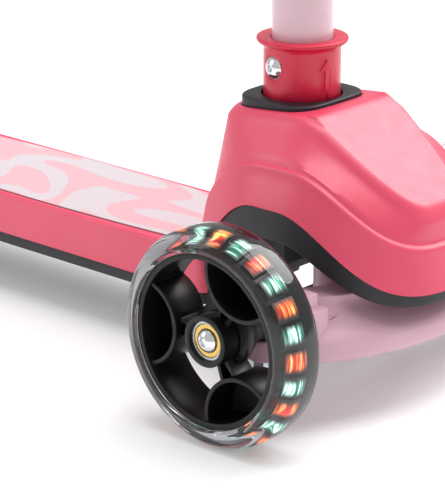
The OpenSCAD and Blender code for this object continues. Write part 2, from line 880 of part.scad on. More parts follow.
// Cross-section of the beam's bowed front, as distance from the bow's centre against height:
// a full round lower edge, and a scoop that leads up to a set-back upper bar
module bow_section() {
    round_r = 7;
    steps = 8;
    depth = 26;                    // of the lower bar, from front to back
    upper_t = 18;                  // thickness of the upper bar
    scoop_low = beam_low + 11;
    scoop_high = bow_top - 3;
    upper_front = beam_curve - bow_setback;
    polygon(concat(
        [[beam_curve - depth, beam_low]],
        [for (i = [0 : steps]) let (a = 90 * i / steps)
            [beam_curve - round_r + round_r * sin(a), beam_low + round_r - round_r * cos(a)]],
        [for (i = [0 : steps]) let (t = i / steps)
            [beam_curve - bow_setback * ease(t), mix(scoop_low, scoop_high, t)]],
        [[upper_front, bow_top], [upper_front - upper_t, bow_top],
         [upper_front - upper_t, bow_floor], [beam_curve - depth, bow_floor]]
    ));
}

module bow() {
    lower_in = 3;                  // how far the ends of both bars stay inside the kingpins
    upper_in = 10;
    reach = 80;
    intersection() {
        translate([front_x - beam_back, 0, 0]) rotate_extrude($fn = 192) bow_section();
        union() {
            slab(front_x, front_x + reach, king_y - lower_in, beam_low - 1, bow_floor + 1);
            slab(front_x, front_x + reach, king_y - upper_in, bow_floor, bow_top + 1);
        }
    }
}

module truck_beam() {
    ear_r = 11;
    ear_low = beam_low + 1;
    member_back = front_x - 10;    // cross member between the ears
    member_front = front_x + 26;
    member_low = 50;
    member_high = 60;
    cup_wall = 3;                  // cups under the buffers
    cup_low = 58;
    web_in = 18;                   // webs that join the ears to the bow
    web_front = front_x + 28;
    web_drop = 8;
    brace_in = 14;
    brace_out = 5;
    brace_front = front_x + 24;
    room_r = 13;                   // room round a knuckle
    room_reach = 19;
    room_back = front_x - 20;
    plate_room_half = 22;
    plate_room_low = 62;
    color("#F0C6D0") difference() {
        union() {
            bow();
            // cross member and the pivot's barrel
            slab(member_back, member_front, king_y - room_r, member_low, member_high);
            slab(member_back, member_front, 10, bow_floor, shaft_z);
            x_rod(front_x - hub_back, front_x + hub_front, 0, shaft_z, hub_r);
            for (s = [-1, 1]) {
                z_rod(buffer_x, s * buffer_y, cup_low, pad_top, buffer_r + cup_wall);
                z_rod(front_x, s * king_y, ear_low, ear_top, ear_r);
                block(front_x - ear_r, web_front, s > 0 ? king_y - web_in : -king_y,
                    s > 0 ? king_y : web_in - king_y, ear_low, ear_top - web_drop);
                block(front_x, brace_front, s > 0 ? king_y - brace_in : -king_y - brace_out,
                    s > 0 ? king_y + brace_out : brace_in - king_y, ear_low, ear_top);
            }
        }
        // room for the knuckles and their arms
        for (s = [-1, 1]) {
            z_rod(front_x, s * king_y, knuckle_low - seam, knuckle_top + seam, room_r);
            block(room_back, front_x - 2, s > 0 ? king_y - room_reach : -king_y - room_reach,
                s > 0 ? king_y + room_reach : room_reach - king_y,
                knuckle_low - seam, knuckle_top + seam);
            block(room_back, front_x + room_r, s > 0 ? king_y : -king_y - room_reach,
                s > 0 ? king_y + room_reach : -king_y, knuckle_low - seam, knuckle_top + seam);
            z_rod(front_x, s * king_y, beam_low - 5, ear_top + 5, king_r + fixed);
        }
        x_rod(front_x - 50, front_x + 50, 0, shaft_z, shaft_r + 0.8);
        x_rod(front_x - hub_back - 1, front_x - hub_back + bush_len, 0, shaft_z, bush_r + fixed);
        x_rod(front_x + hub_front - bush_len, front_x + hub_front + 1, 0, shaft_z,
            bush_r + fixed);
        // room for the front bearing plate as the beam leans
        slab(front_x + hub_front, front_x + 60, plate_room_half, plate_room_low, shaft_z + 10);
    }
}

// Flanged bushes pressed into both ends of the beam's barrel
module lean_bushes() {
    flange_t = 1.4;
    flange_rise = 3;
    gap = 0.1;
    color("#E9E6DC") for (end = [-1, 1]) {
        face = end < 0 ? front_x - hub_back : front_x + hub_front;
        difference() {
            union() {
                x_rod(end < 0 ? face - gap : face - bush_len + 2 * gap,
                    end < 0 ? face + bush_len - 2 * gap : face + gap, 0, shaft_z, bush_r);
                x_rod(end < 0 ? face - flange_t - gap : face + gap,
                    end < 0 ? face - gap : face + flange_t + gap, 0, shaft_z,
                    bush_r + flange_rise);
            }
            x_rod(front_x - 60, front_x + 60, 0, shaft_z, shaft_r + run);
        }
    }
}

module lean_buffers() {
    color("#F2B84B") for (s = [-1, 1])
        z_rod(buffer_x, s * buffer_y, pad_top + face_gap, wing_low - 0.25, buffer_r);
}

module kingpin(side) {
    y = side * king_y;
    head_t = 4.4;
    nut_t = 4.9;
    tip = 0.6;
    gap = 0.1;
    color("#A9ADB3") {
        z_rod(front_x, y, beam_low - gap - nut_t - tip, ear_top + 2 * gap, king_r);
        z_rod(front_x, y, ear_top + gap, ear_top + gap + head_t, king_r + 3);
        translate([front_x, y, beam_low - gap - nut_t])
            cylinder(r = king_r + 3, h = nut_t, $fn = 6);
    }
}

module left_kingpin() { kingpin(1); }
module right_kingpin() { kingpin(-1); }

module knuckle(side) {
    stub_end = wheel_y - bearing_in - bearing_w;
    barrel_r = 10;
    stub_r = 9.8;
    stub_step = 16;                // from the wheel's middle in to the thicker stub
    shoulder_r = 6.2;
    arm_half = 6;
    arm_t = 6;
    eye_r = 7;
    color("#2B2B31") mirror([0, side < 0 ? 1 : 0, 0]) difference() {
        union() {
            z_rod(front_x, king_y, knuckle_low, knuckle_top, barrel_r);
            y_rod(front_x, king_y, wheel_y - stub_step, tyre_r, stub_r);
            y_rod(front_x, king_y, stub_end - 0.1, tyre_r, shoulder_r);
            block(front_x - arm_len, front_x - 5, king_y - arm_half, king_y + arm_half,
                knuckle_low, knuckle_low + arm_t);
            z_rod(front_x - arm_len, king_y, knuckle_low, knuckle_low + arm_t, eye_r);
        }
        z_rod(front_x, king_y, knuckle_low - 1, knuckle_top + 1, king_r + run);
        z_rod(front_x - arm_len, king_y, knuckle_low - 1, knuckle_low + arm_t + 1,
            pin_r + fixed);
        y_rod(front_x, king_y + king_r + 2, wheel_y, tyre_r, axle_r + fixed);
    }
}

module left_knuckle() { knuckle(1); }
module right_knuckle() { knuckle(-1); }

module tie_pin(side) {
    y = side * king_y;
    x = front_x - arm_len;
    head_t = 2.3;
    ring_low = 6.1;                // retaining ring above the knuckle's arm
    ring_t = 1.9;
    color("#A9ADB3") {
        z_rod(x, y, rod_low - seam - head_t, knuckle_low + ring_low + ring_t, pin_r);
        z_rod(x, y, rod_low - seam - head_t, rod_low - seam, pin_r + 2);
        z_rod(x, y, knuckle_low + ring_low, knuckle_low + ring_low + ring_t, pin_r + 1.6);
    }
}

module left_tie_pin() { tie_pin(1); }
module right_tie_pin() { tie_pin(-1); }

module tie_rod() {
    x = front_x - arm_len;
    slack = 0.35;                  // room for the small arc that the knuckle arms make
    drive_slack = 0.9;
    rod_half = 5;
    eye_r = 7;
    drive_eye_r = 9;
    color("#4A4C52") difference() {
        union() {
            slab(x - rod_half, x + rod_half, king_y, rod_low, rod_low + rod_t);
            for (s = [-1, 0, 1])
                z_rod(x, s * king_y, rod_low, rod_low + rod_t, s == 0 ? drive_eye_r : eye_r);
        }
        for (s = [-1, 1]) z_rod(x, s * king_y, rod_low - 1, rod_low + rod_t + 1, pin_r + slack);
        z_rod(x, 0, rod_low - 1, rod_low + rod_t + 1, pin_r + drive_slack);
    }
}

// ---------- wheels ----------

// Moves a wheel part made round the Y axis, outer side towards +Y, to its place
module at_wheel(side) {
    translate([front_x, side * wheel_y, tyre_r]) mirror([0, side < 0 ? 1 : 0, 0]) children();
}

module y_ring(r_out, r_in, y0, y1) {
    difference() {
        y_rod(0, y0, y1, 0, r_out);
        y_rod(0, y0 - 1, y1 + 1, 0, r_in);
    }
}

// Moulded hub: rim, hub ring and three closed D-shaped pockets, with windows between them
module wheel_hub(side) {
    pocket_at = 46;                // distance of a pocket's curve centre from the axle
    pocket_r = 24.5;
    pocket_wall = 2.4;
    pocket_half = 11.5;
    pocket_floor = 3;
    rib_turn = 12;
    core_w = 6;
    core_step = 4;                 // how far the middle flange stands out from the hub ring
    rib_half = 7;
    rib_t = 2.4;
    rim_in = rim_r - rim_wall;
    seat = bearing_r + fixed;
    color("#26262B") at_wheel(side) difference() {
        union() {
            y_ring(rim_r, rim_in, -rim_w / 2, rim_w / 2);
            y_rod(0, -boss_w / 2, boss_w / 2, 0, boss_r);
            y_rod(0, -core_w, 0, 0, boss_r + core_step);
            intersection() {
                y_rod(0, -pocket_half, pocket_half, 0, rim_in + 0.5);
                for (turn = [0, 120, 240]) rotate([0, turn, 0]) difference() {
                    union() {
                        y_rod(-pocket_at, -pocket_half, pocket_half, 0, pocket_r);
                        for (s = [-1, 1]) rotate([0, s * rib_turn, 0])
                            block(-pocket_at + pocket_r - 2, -boss_r + 2, -rib_half, rib_half,
                                -rib_t / 2, rib_t / 2);
                    }
                    y_rod(-pocket_at, pocket_floor - pocket_half, pocket_half + 1, 0,
                        pocket_r - pocket_wall);
                }
            }
        }
        y_rod(0, -boss_w, boss_w, 0, axle_room);
        y_rod(0, bearing_in, boss_w, 0, seat);
        y_rod(0, -boss_w, -bearing_in, 0, seat);
    }
}

module left_hub() { wheel_hub(1); }
module right_hub() { wheel_hub(-1); }

// Cross-section of a tyre with a rounded tread, drawn as radius against width
module tyre_profile(r_in, r_out, half, round_r) {
    translate([r_in, -half]) square([r_out - round_r - r_in, 2 * half]);
    translate([r_out - round_r - eps, round_r - half])
        square([round_r + eps, 2 * (half - round_r)]);
    for (s = [-1, 1]) translate([r_out - round_r, s * (half - round_r)]) circle(r = round_r);
}

module tyre(side) {
    groove_half = 8;
    groove_depth = 5.2;
    color("#8A8F96", 0.6) at_wheel(side) rotate([90, 0, 0]) rotate_extrude() difference() {
        intersection() {
            tyre_profile(rim_r + fixed, tyre_r, tyre_w / 2, tread_round);
            translate([rim_r + fixed, -tyre_w]) square([tyre_r, 2 * tyre_w]);
        }
        translate([rim_r - 1, -groove_half]) square([groove_depth + 1, 2 * groove_half]);
    }
}

module left_tyre() { tyre(1); }
module right_tyre() { tyre(-1); }

module lights(side) {
    light_w = 8.6;
    light_half = 7;
    light_low = 0.5;
    light_t = 3.9;
    color("#FF7A50") at_wheel(side) for (i = [0 : light_count - 1])
        rotate([0, 360 * i / light_count, 0])
            block(rim_r + light_low, rim_r + light_low + light_t, -light_half, light_half,
                -light_w / 2, light_w / 2);
}

module left_lights() { lights(1); }
module right_lights() { lights(-1); }

module bearing_pair() {
    outer_race = 1.8;
    inner_race = 2.15;
    shield_in = 0.5;               // how far the shields sit inside the races
    for (s = [-1, 1]) difference() {
        y_ring(bearing_r, bearing_bore, s > 0 ? bearing_in : -bearing_out,
            s > 0 ? bearing_out : -bearing_in);
        // grooves between the shields and the races
        for (y = [bearing_in - 1, bearing_out - shield_in])
            y_ring(bearing_r - outer_race, bearing_bore + inner_race,
                s > 0 ? y : -y - 1 - shield_in, s > 0 ? y + 1 + shield_in : -y);
    }
}

module left_bearings() { color("#C9A24A") at_wheel(1) bearing_pair(); }
module right_bearings() { color("#C9A24A") at_wheel(-1) bearing_pair(); }

module spacer() { y_ring(spacer_r, bearing_bore, -spacer_half, spacer_half); }

module left_spacer() { color("#A9ADB3") at_wheel(1) spacer(); }
module right_spacer() { color("#A9ADB3") at_wheel(-1) spacer(); }

// Domed axle bolt, from the outside of the wheel into the knuckle
module axle_bolt(side) {
    head_at = bearing_out + face_gap;
    head_r = 6.3;
    head_t = 3.6;
    dome_r = 7.8;
    socket_from = 1.4;
    color("#D8DADD") at_wheel(side) difference() {
        union() {
            y_rod(0, king_y + king_r + 3 - wheel_y, head_at + eps, 0, axle_r);
            intersection() {
                y_rod(0, head_at, head_at + head_t, 0, head_r);
                translate([0, head_at + head_t - dome_r, 0]) sphere(r = dome_r);
            }
        }
        translate([0, head_at + socket_from, 0]) rotate([-90, 0, 0])
            cylinder(r = socket_r, h = head_t, $fn = 6);
    }
}

module left_axle_bolt() { axle_bolt(1); }
module right_axle_bolt() { axle_bolt(-1); }

module at_rear() {
    translate([rear_x, 0, rear_r]) children();
}

module rear_hub() {
    rim_in = rear_rim_r - 3;
    rim_side = 1;                  // how far the rim stays inside the tyre's sides
    disc_half = 1.5;
    spoke_half = 8;
    spoke_t = 2.6;
    color("#26262B") at_rear() difference() {
        union() {
            y_ring(rear_rim_r, rim_in, rim_side - rear_w / 2, rear_w / 2 - rim_side);
            y_rod(0, -rear_w / 2, rear_w / 2, 0, boss_r - 0.6);
            y_rod(0, -disc_half, disc_half, 0, rim_in + 0.5);
            for (turn = [0 : 60 : 300]) rotate([0, turn, 0])
                block(boss_r - 2, rim_in + 0.5, -spoke_half, spoke_half,
                    -spoke_t / 2, spoke_t / 2);
        }
        y_rod(0, -rear_w, rear_w, 0, axle_room);
        y_rod(0, bearing_in, rear_w, 0, bearing_r + fixed);
        y_rod(0, -rear_w, -bearing_in, 0, bearing_r + fixed);
    }
}

module rear_tyre() {
    tread_r = 6;
    color("#8A8F96", 0.6) at_rear() rotate([90, 0, 0]) rotate_extrude()
        intersection() {
            tyre_profile(rear_rim_r + fixed, rear_r, rear_w / 2, tread_r);
            translate([rear_rim_r + fixed, -rear_w]) square([rear_r, 2 * rear_w]);
        }
}

module rear_bearings() { color("#C9A24A") at_rear() bearing_pair(); }

// Tubes that keep the bearings apart and clear of the fork
module rear_spacer() {
    side_from = bearing_out + face_gap;
    color("#A9ADB3") at_rear() {
        spacer();
        y_ring(spacer_r, bearing_bore, side_from, fork_in - seam);
        y_ring(spacer_r, bearing_bore, -fork_in + seam, -side_from);
    }
}

module rear_axle() {
    gap = 0.1;
    head_r = 6.5;
    head_t = 3.9;
    socket_depth = 2.4;
    thread_len = 6;
    color("#A9ADB3") at_rear() difference() {
        union() {
            y_rod(0, -fork_out - 2 * gap, fork_out + thread_len, 0, axle_r);
            y_rod(0, -fork_out - gap - head_t, -fork_out - gap, 0, head_r);
        }
        translate([0, -fork_out - gap - head_t - 1, 0]) rotate([-90, 0, 0])
            cylinder(r = socket_r, h = socket_depth + 1, $fn = 6);
    }
}

module rear_nut() {
    hex_r = 6.8;
    hex_t = 5;
    color("#A9ADB3") at_rear() difference() {
        translate([0, fork_out + 0.1, 0]) rotate([-90, 0, 0])
            cylinder(r = hex_r, h = hex_t, $fn = 6);
        y_rod(0, fork_out - 1, fork_out + hex_t + 2, 0, axle_r + fixed);
    }
}

// ---------- brake ----------

// Wedge of a ring between two angles, counted up from straight back
module arc_slice(r_in, r_out, half, from, to) {
    reach = 2 * r_out;
    intersection() {
        y_ring(r_out, r_in, -half, half);
        rotate([90, 0, 0]) translate([0, 0, -half - 1]) linear_extrude(2 * half + 2)
            polygon([[0, 0], for (a = [from, (from + to) / 2, to])
                [-reach * cos(a), reach * sin(a)]]);
    }
}

module brake_fender() {
    join = fender_to - 6;          // where the tongue meets the curved part
    join_r = fender_in + fender_t / 2;
    reach = [brake_dx + join_r * cos(join), join_r * sin(join) + rear_r - brake_z];
    ear_half = fork_in - 1;
    spring_half = 6;
    spring_room = 1.5;
    tongue_t = 3.6;
    cheek_in = 0.2;
    cheek_from = 35;
    cheek_to = fender_to - 12;
    color("#2B2B31") difference() {
        union() {
            at_rear() arc_slice(fender_in, fender_out, fender_half, fender_from, fender_to);
            for (s = [-1, 1])
                at_rear() translate([0, s * (fender_half - cheek_t / 2 - cheek_in), 0])
                    arc_slice(fender_in - cheek_drop, fender_in + 1, cheek_t / 2,
                        cheek_from, cheek_to);
            translate([rear_x + brake_dx, 0, brake_z])
                rotate([0, -atan2(reach[1], -reach[0]), 0])
                    block(0, norm(reach), -ear_half, ear_half, -tongue_t / 2, tongue_t / 2);
            y_rod(rear_x + brake_dx, -ear_half - 0.5, ear_half + 0.5, brake_z, brake_ear_r);
        }
        y_rod(rear_x + brake_dx, -fork_out, fork_out, brake_z, brake_pin_r + run);
        y_rod(rear_x + brake_dx, -spring_half, spring_half, brake_z, brake_ear_r + spring_room);
    }
}

module brake_pad() {
    pad_from = 72;
    pad_to = 108;
    color("#3A3A40") at_rear()
        arc_slice(rear_r + pad_gap, fender_in - 0.1, pad_half, pad_from, pad_to);
}

module brake_pin() {
    gap = 0.1;
    head_t = 2.4;
    ring_t = 1.7;                  // retaining ring at the far end
    x = rear_x + brake_dx;
    color("#A9ADB3") {
        y_rod(x, -fork_out - gap - eps, fork_out + 2 * gap, brake_z, brake_pin_r);
        y_rod(x, -fork_out - gap - head_t, -fork_out - gap, brake_z, brake_pin_r + 2);
        y_rod(x, fork_out + gap, fork_out + gap + ring_t, brake_z, brake_pin_r + 1.6);
    }
}

// Torsion spring round the brake pin: one tube of wire swept along a helix
module brake_spring() {
    wire_r = 0.7;
    coil_r = brake_pin_r + 1.4;
    turns = 4;
    pitch = 2.2;
    per_turn = 16;
    sides = 8;
    count = turns * per_turn;
    rings = [for (i = [0 : count])
        let (a = 360 * i / per_turn, y = (i / per_turn - turns / 2) * pitch)
        [for (k = [0 : sides - 1])
            let (b = 360 * k / sides, r = coil_r + wire_r * cos(b))
            [rear_x + brake_dx + r * cos(a), y + wire_r * sin(b), brake_z + r * sin(a)]]];
    points = [for (ring = rings) for (p = ring) p];
    last = count * sides;
    faces = concat(
        [[for (k = [0 : sides - 1]) k]],
        [for (i = [0 : count - 1]) for (k = [0 : sides - 1])
            let (j = (k + 1) % sides, a = i * sides, b = a + sides)
            each [[a + k, b + k, b + j], [a + k, b + j, a + j]]],
        [[for (k = [sides - 1 : -1 : 0]) last + k]]
    );
    color("#A9ADB3") polyhedron(points = points, faces = faces, convexity = 10);
}

deck_shell();
deck_mat();
deck_base();
deck_screws();
front_frame();
front_cover();
front_liner();
stem_bezel();
stem_collar();
collar_bolt();
collar_nut();
lower_tube();
tube_sleeve();
tube_clamp();
clamp_bolt();
lever_pin();
clamp_lever();
upper_tube();
bar_head();
handlebar();
left_grip();
right_grip();
lean_shaft();
drive_pin();
truck_beam();
lean_bushes();
lean_buffers();
left_kingpin();
right_kingpin();
left_knuckle();
right_knuckle();
left_tie_pin();
right_tie_pin();
tie_rod();
left_axle_bolt();
right_axle_bolt();
left_hub();
right_hub();
left_tyre();
right_tyre();
left_lights();
right_lights();
left_bearings();
right_bearings();
left_spacer();
right_spacer();
rear_hub();
rear_tyre();
rear_bearings();
rear_spacer();
rear_axle();
rear_nut();
brake_fender();
brake_pad();
brake_pin();
brake_spring();
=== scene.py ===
import json
from math import copysign, cos, hypot, pi, radians, sin, sqrt

import bmesh
import bpy
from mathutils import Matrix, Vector


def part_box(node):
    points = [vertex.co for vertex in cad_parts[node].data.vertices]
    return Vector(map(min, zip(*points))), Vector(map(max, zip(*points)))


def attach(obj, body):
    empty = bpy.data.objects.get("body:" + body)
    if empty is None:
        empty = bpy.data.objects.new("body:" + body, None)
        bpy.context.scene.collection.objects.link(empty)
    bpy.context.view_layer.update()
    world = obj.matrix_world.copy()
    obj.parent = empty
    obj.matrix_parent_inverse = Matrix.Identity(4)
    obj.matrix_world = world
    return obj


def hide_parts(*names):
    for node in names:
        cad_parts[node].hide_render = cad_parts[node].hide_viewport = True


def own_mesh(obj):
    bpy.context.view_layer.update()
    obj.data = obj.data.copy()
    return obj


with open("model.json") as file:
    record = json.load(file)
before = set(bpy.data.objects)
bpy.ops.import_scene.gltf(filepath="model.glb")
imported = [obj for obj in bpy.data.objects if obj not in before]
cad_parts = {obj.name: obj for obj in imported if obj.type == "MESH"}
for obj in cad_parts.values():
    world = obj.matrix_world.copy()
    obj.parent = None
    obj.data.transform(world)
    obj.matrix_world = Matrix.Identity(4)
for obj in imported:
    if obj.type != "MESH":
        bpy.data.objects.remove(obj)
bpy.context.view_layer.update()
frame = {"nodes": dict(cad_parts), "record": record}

MM = 0.001
WELD = 2e-6
scene = bpy.context.scene

BODY_OF = {node: body
           for body, nodes in frame["record"]["behaviour"]["bodies"].items()
           for node in nodes}


def middle(node):
    low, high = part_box(node)
    return (Vector(low) + Vector(high)) / 2


# Places in millimetres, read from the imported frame
FRONT_X = middle("right_tyre").x / MM
REAR_X = middle("rear_tyre").x / MM
WHEEL_Y = middle("left_tyre").y / MM
TYRE_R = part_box("right_tyre")[1][2] / MM / 2
REAR_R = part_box("rear_tyre")[1][2] / MM / 2
RIM_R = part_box("right_hub")[1][2] / MM - TYRE_R
STEM_X = middle("lower_tube").x / MM
DECK_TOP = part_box("deck_shell")[1][2] / MM
BAR_Z = middle("handlebar").z / MM
MAT_HIGH_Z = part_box("deck_mat")[1][2] / MM

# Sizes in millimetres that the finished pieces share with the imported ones
TUBE_WALL = 1.5
FIT = 0.04                           # radial clearance of a fixed fit
SEAM = 0.3                           # gap between two mouldings
GRIP_R = 14.5
BEARING_R, BEARING_BORE = 11, 4.05
BEARING_IN, BEARING_OUT = 4.0, 11.0  # faces of a bearing from the middle of its wheel
REAR_RIM_R = 30

RIB_DEEP = 0.3                       # height of the mat's ribs that its finish shades over


# ---------- finishes ----------

def paint(code):
    """sRGB hex to the linear colour that a shader takes"""
    parts = [int(code[k:k + 2], 16) / 255 for k in (1, 3, 5)]
    return tuple(p / 12.92 if p <= 0.04045 else ((p + 0.055) / 1.055) ** 2.4 for p in parts) + (1,)


def add(tree, kind, options=None, **sockets):
    """Adds a node; options are its own settings, sockets its values or the outputs they take"""
    made = tree.nodes.new("ShaderNode" + kind)
    for key, value in (options or {}).items():
        setattr(made, key, value)
    for key, value in sockets.items():
        socket = made.inputs[int(key[1:]) if key[0] == "i" and key[1:].isdigit()
                             else key.replace("_", " ")]
        if isinstance(value, bpy.types.NodeSocket):
            tree.links.new(value, socket)
        else:
            socket.default_value = value
    return made


def new_finish(name):
    finish = bpy.data.materials.new(name)
    finish.use_nodes = True
    tree = finish.node_tree
    tree.nodes.clear()
    place = add(tree, "TexCoord").outputs["Object"]
    return finish, tree, place


def closed_off(tree, shader):
    add(tree, "OutputMaterial", Surface=shader.outputs["BSDF"])


def blotches(tree, place, size_mm, low, high, detail=2.0):
    """A soft noise whose patches are size_mm across, spread from low to high"""
    noise = add(tree, "TexNoise", Vector=place, Scale=1 / (size_mm * MM), Detail=detail,
                Roughness=0.5)
    return add(tree, "MapRange", i0=noise.outputs["Fac"], i1=0.3, i2=0.7, i3=low,
               i4=high).outputs["Result"]


def grain(tree, place, size_mm, depth_mm, detail=3.0):
    """Bump from a fine grain of that size and depth"""
    noise = add(tree, "TexNoise", Vector=place, Scale=1 / (size_mm * MM), Detail=detail,
                Roughness=0.55)
    return add(tree, "Bump", Strength=1.0, Distance=depth_mm * MM,
               Height=noise.outputs["Fac"]).outputs["Normal"]


def moulded(name, colour, shade, rough, grain_mm, grain_depth, **constants):
    """Plastic from a mould: even colour with a faint drift, satin skin with a fine grain"""
    finish, tree, place = new_finish(name)
    tone = add(tree, "Mix", {"data_type": "RGBA"}, i0=blotches(tree, place, 45, 0.0, 1.0),
               i6=paint(colour), i7=paint(shade))
    shader = add(tree, "BsdfPrincipled", Base_Color=tone.outputs[2],
                 Roughness=blotches(tree, place, 9, rough - 0.03, rough + 0.04, 4.0),
                 Normal=grain(tree, place, grain_mm, grain_depth), **constants)
    closed_off(tree, shader)
    return finish


def metal(name, colour, rough, spread, streak_mm, depth_mm, squash=(1, 1, 1)):
    """Bare or plated metal, its streaks drawn out by squash"""
    finish, tree, place = new_finish(name)
    drawn = add(tree, "Mapping", {"vector_type": "POINT"}, Vector=place,
                Scale=squash).outputs["Vector"]
    shader = add(tree, "BsdfPrincipled", Base_Color=paint(colour), Metallic=1.0,
                 Roughness=blotches(tree, drawn, streak_mm, rough - spread, rough + spread, 4.0),
                 Normal=grain(tree, drawn, streak_mm, depth_mm))
    closed_off(tree, shader)
    return finish


# ABS cover and deck: satin moulded skin, a fine spark-eroded grain that takes a soft sheen
ABS_ROSE = moulded("abs_moulded_rose", "#DE4564", "#DA3F5E", 0.38, 0.9, 0.010,
                   IOR=1.53, Specular_IOR_Level=0.7)
# Nylon collar: deeper colour and a glossier skin from a polished mould
NYLON_ROSE = moulded("nylon_moulded_rose", "#D21C40", "#CC183C", 0.30, 1.2, 0.006, IOR=1.53)
# Polypropylene structure: near black, matt, with a coarser grain
PP_BLACK = moulded("pp_moulded_black", "#131319", "#17171D", 0.45, 0.8, 0.016, IOR=1.49)
# Glass-filled nylon hub: black with a dry satin skin and faint flow marks
NYLON_BLACK = moulded("nylon_moulded_black", "#0A0A0C", "#0E0E11", 0.34, 1.2, 0.002, IOR=1.53,
                      Specular_IOR_Level=0.3)
# Polypropylene beam: pale pink and waxy, light goes a little way in
PP_BLUSH = moulded("pp_moulded_blush", "#CFA5B4", "#CA9FAE", 0.38, 1.0, 0.008, IOR=1.49)
# Thermoplastic rubber of the grips: soft and matt
TPR_ROSE = moulded("tpr_moulded_rose", "#E05672", "#D94E6B", 0.62, 0.6, 0.03, IOR=1.5)
# Polyurethane buffers: amber and slightly translucent to the eye
PU_AMBER = moulded("pu_cast_amber", "#E9A83C", "#E09C30", 0.35, 1.5, 0.006, IOR=1.5)
# Acetal bushes: off-white and slippery
ACETAL_WHITE = moulded("acetal_turned_white", "#E8E5DB", "#E2DED2", 0.36, 1.0, 0.004, IOR=1.48)
# Zinc-plated steel of screws, pins and shafts: bluish grey with faint drawn lines
ZINC_STEEL = metal("steel_zinc_plated", "#B4B8BE", 0.30, 0.07, 1.4, 0.004)
# Chromed bolt heads: a mirror with hardly a mark
CHROME = metal("steel_chromed", "#E4E6E9", 0.09, 0.03, 3.0, 0.001)
# Yellow-passivated bearing shields: pressed steel with a gold tint
SHIELD_GOLD = metal("steel_passivated_gold", "#D9B66A", 0.24, 0.06, 0.9, 0.006)
# Electro-coated steel tie rod: dark grey and dull
ECOAT_GREY = moulded("steel_ecoat_grey", "#3A3C41", "#44464B", 0.42, 1.2, 0.01, Metallic=0.4)


def tube_finish():
    """Powder-coated steel tube: pale pink with the faint orange peel of a cured coat"""
    finish, tree, place = new_finish("steel_powder_coat_blush")
    tone = add(tree, "Mix", {"data_type": "RGBA"}, i0=blotches(tree, place, 60, 0.0, 1.0),
               i6=paint("#D9B9C3"), i7=paint("#D4B2BD"))
    # the peel of a powder coat is about 2 mm from crest to crest
    shader = add(tree, "BsdfPrincipled", Base_Color=tone.outputs[2], IOR=1.5,
                 Roughness=blotches(tree, place, 12, 0.26, 0.34), Coat_Weight=0.4,
                 Coat_Roughness=0.12, Normal=grain(tree, place, 2.2, 0.012, 1.0))
    closed_off(tree, shader)
    return finish


def mat_finish():
    """Printed rubber mat: pale pink waves on off-white under a ribbed, matt tread"""
    finish, tree, place = new_finish("tpe_printed_mat")
    # waves about 40 mm apart: level lines of a smooth, slanted noise
    slanted = add(tree, "Mapping", {"vector_type": "POINT"}, Vector=place,
                  Rotation=(0, 0, radians(28)), Scale=(1.0, 1.75, 1.0)).outputs["Vector"]
    drift = add(tree, "TexNoise", Vector=slanted, Scale=9.0, Detail=0.6, Roughness=0.35,
                Distortion=0.55)
    levels = add(tree, "Math", {"operation": "MULTIPLY"}, i0=drift.outputs["Fac"], i1=6.2)
    wave = add(tree, "Math", {"operation": "PINGPONG"}, i0=levels.outputs[0], i1=0.5)
    ramp = add(tree, "ValToRGB", Fac=wave.outputs[0])
    ramp.color_ramp.elements[0].position = 0.235
    ramp.color_ramp.elements[0].color = paint("#E2B3BA")
    ramp.color_ramp.elements[1].position = 0.262
    ramp.color_ramp.elements[1].color = paint("#D3CCD0")
    # painted shade makes the grooves between the ribs a little deeper in tone
    high = add(tree, "SeparateXYZ", Vector=place).outputs["Z"]
    shade = add(tree, "MapRange", i0=high, i1=(MAT_HIGH_Z - RIB_DEEP) * MM,
                i2=(MAT_HIGH_Z - 0.05) * MM, i3=1.0, i4=0.0)
    tone = add(tree, "Mix", {"data_type": "RGBA"}, i0=shade.outputs["Result"],
               i6=ramp.outputs["Color"], i7=paint("#A9838F"))
    shader = add(tree, "BsdfPrincipled", Base_Color=tone.outputs[2], IOR=1.5,
                 Roughness=blotches(tree, place, 5, 0.52, 0.62),
                 Normal=grain(tree, place, 0.7, 0.03))
    closed_off(tree, shader)
    return finish


def clear_finish():
    """Clear cast polyurethane: a thick, glossy, faintly grey tyre that shows what is in it"""
    finish, tree, place = new_finish("pu_cast_clear")
    shader = add(tree, "BsdfPrincipled", Base_Color=paint("#DDDFE2"), IOR=1.49,
                 Transmission_Weight=1.0, Roughness=0.035, Specular_IOR_Level=0.3,
                 Normal=grain(tree, place, 12.0, 0.012, 1.0))
    closed_off(tree, shader)
    return finish


def light_finish(name, edge, core, strength):
    """A lit segment: bright core lines and coloured edges, in fine rings round the wheel"""
    finish, tree, place = new_finish(name)
    across = add(tree, "Mapping", {"vector_type": "POINT"}, Vector=place,
                 Scale=(0.06, 1.0, 0.06)).outputs["Vector"]
    # the lines are about 1 mm apart across the tyre
    lines = add(tree, "TexNoise", Vector=across, Scale=1150.0, Detail=1.0, Roughness=0.6)
    ramp = add(tree, "ValToRGB", Fac=lines.outputs["Fac"])
    ramp.color_ramp.elements[0].position = 0.45
    ramp.color_ramp.elements[0].color = paint(edge)
    ramp.color_ramp.elements[1].position = 0.66
    ramp.color_ramp.elements[1].color = paint(core)
    glow = add(tree, "MapRange", i0=lines.outputs["Fac"], i1=0.3, i2=0.65,
               i3=strength * 0.2, i4=strength)
    # the lamp behind a segment is brightest at its middle
    lit = add(tree, "Attribute", {"attribute_name": "lit"}).outputs["Fac"]
    power = add(tree, "Math", {"operation": "MULTIPLY"}, i0=glow.outputs["Result"], i1=lit)
    shader = add(tree, "BsdfPrincipled", Base_Color=paint("#16181A"), Roughness=0.3,
                 Emission_Color=ramp.outputs["Color"], Emission_Strength=power.outputs[0])
    closed_off(tree, shader)
    return finish


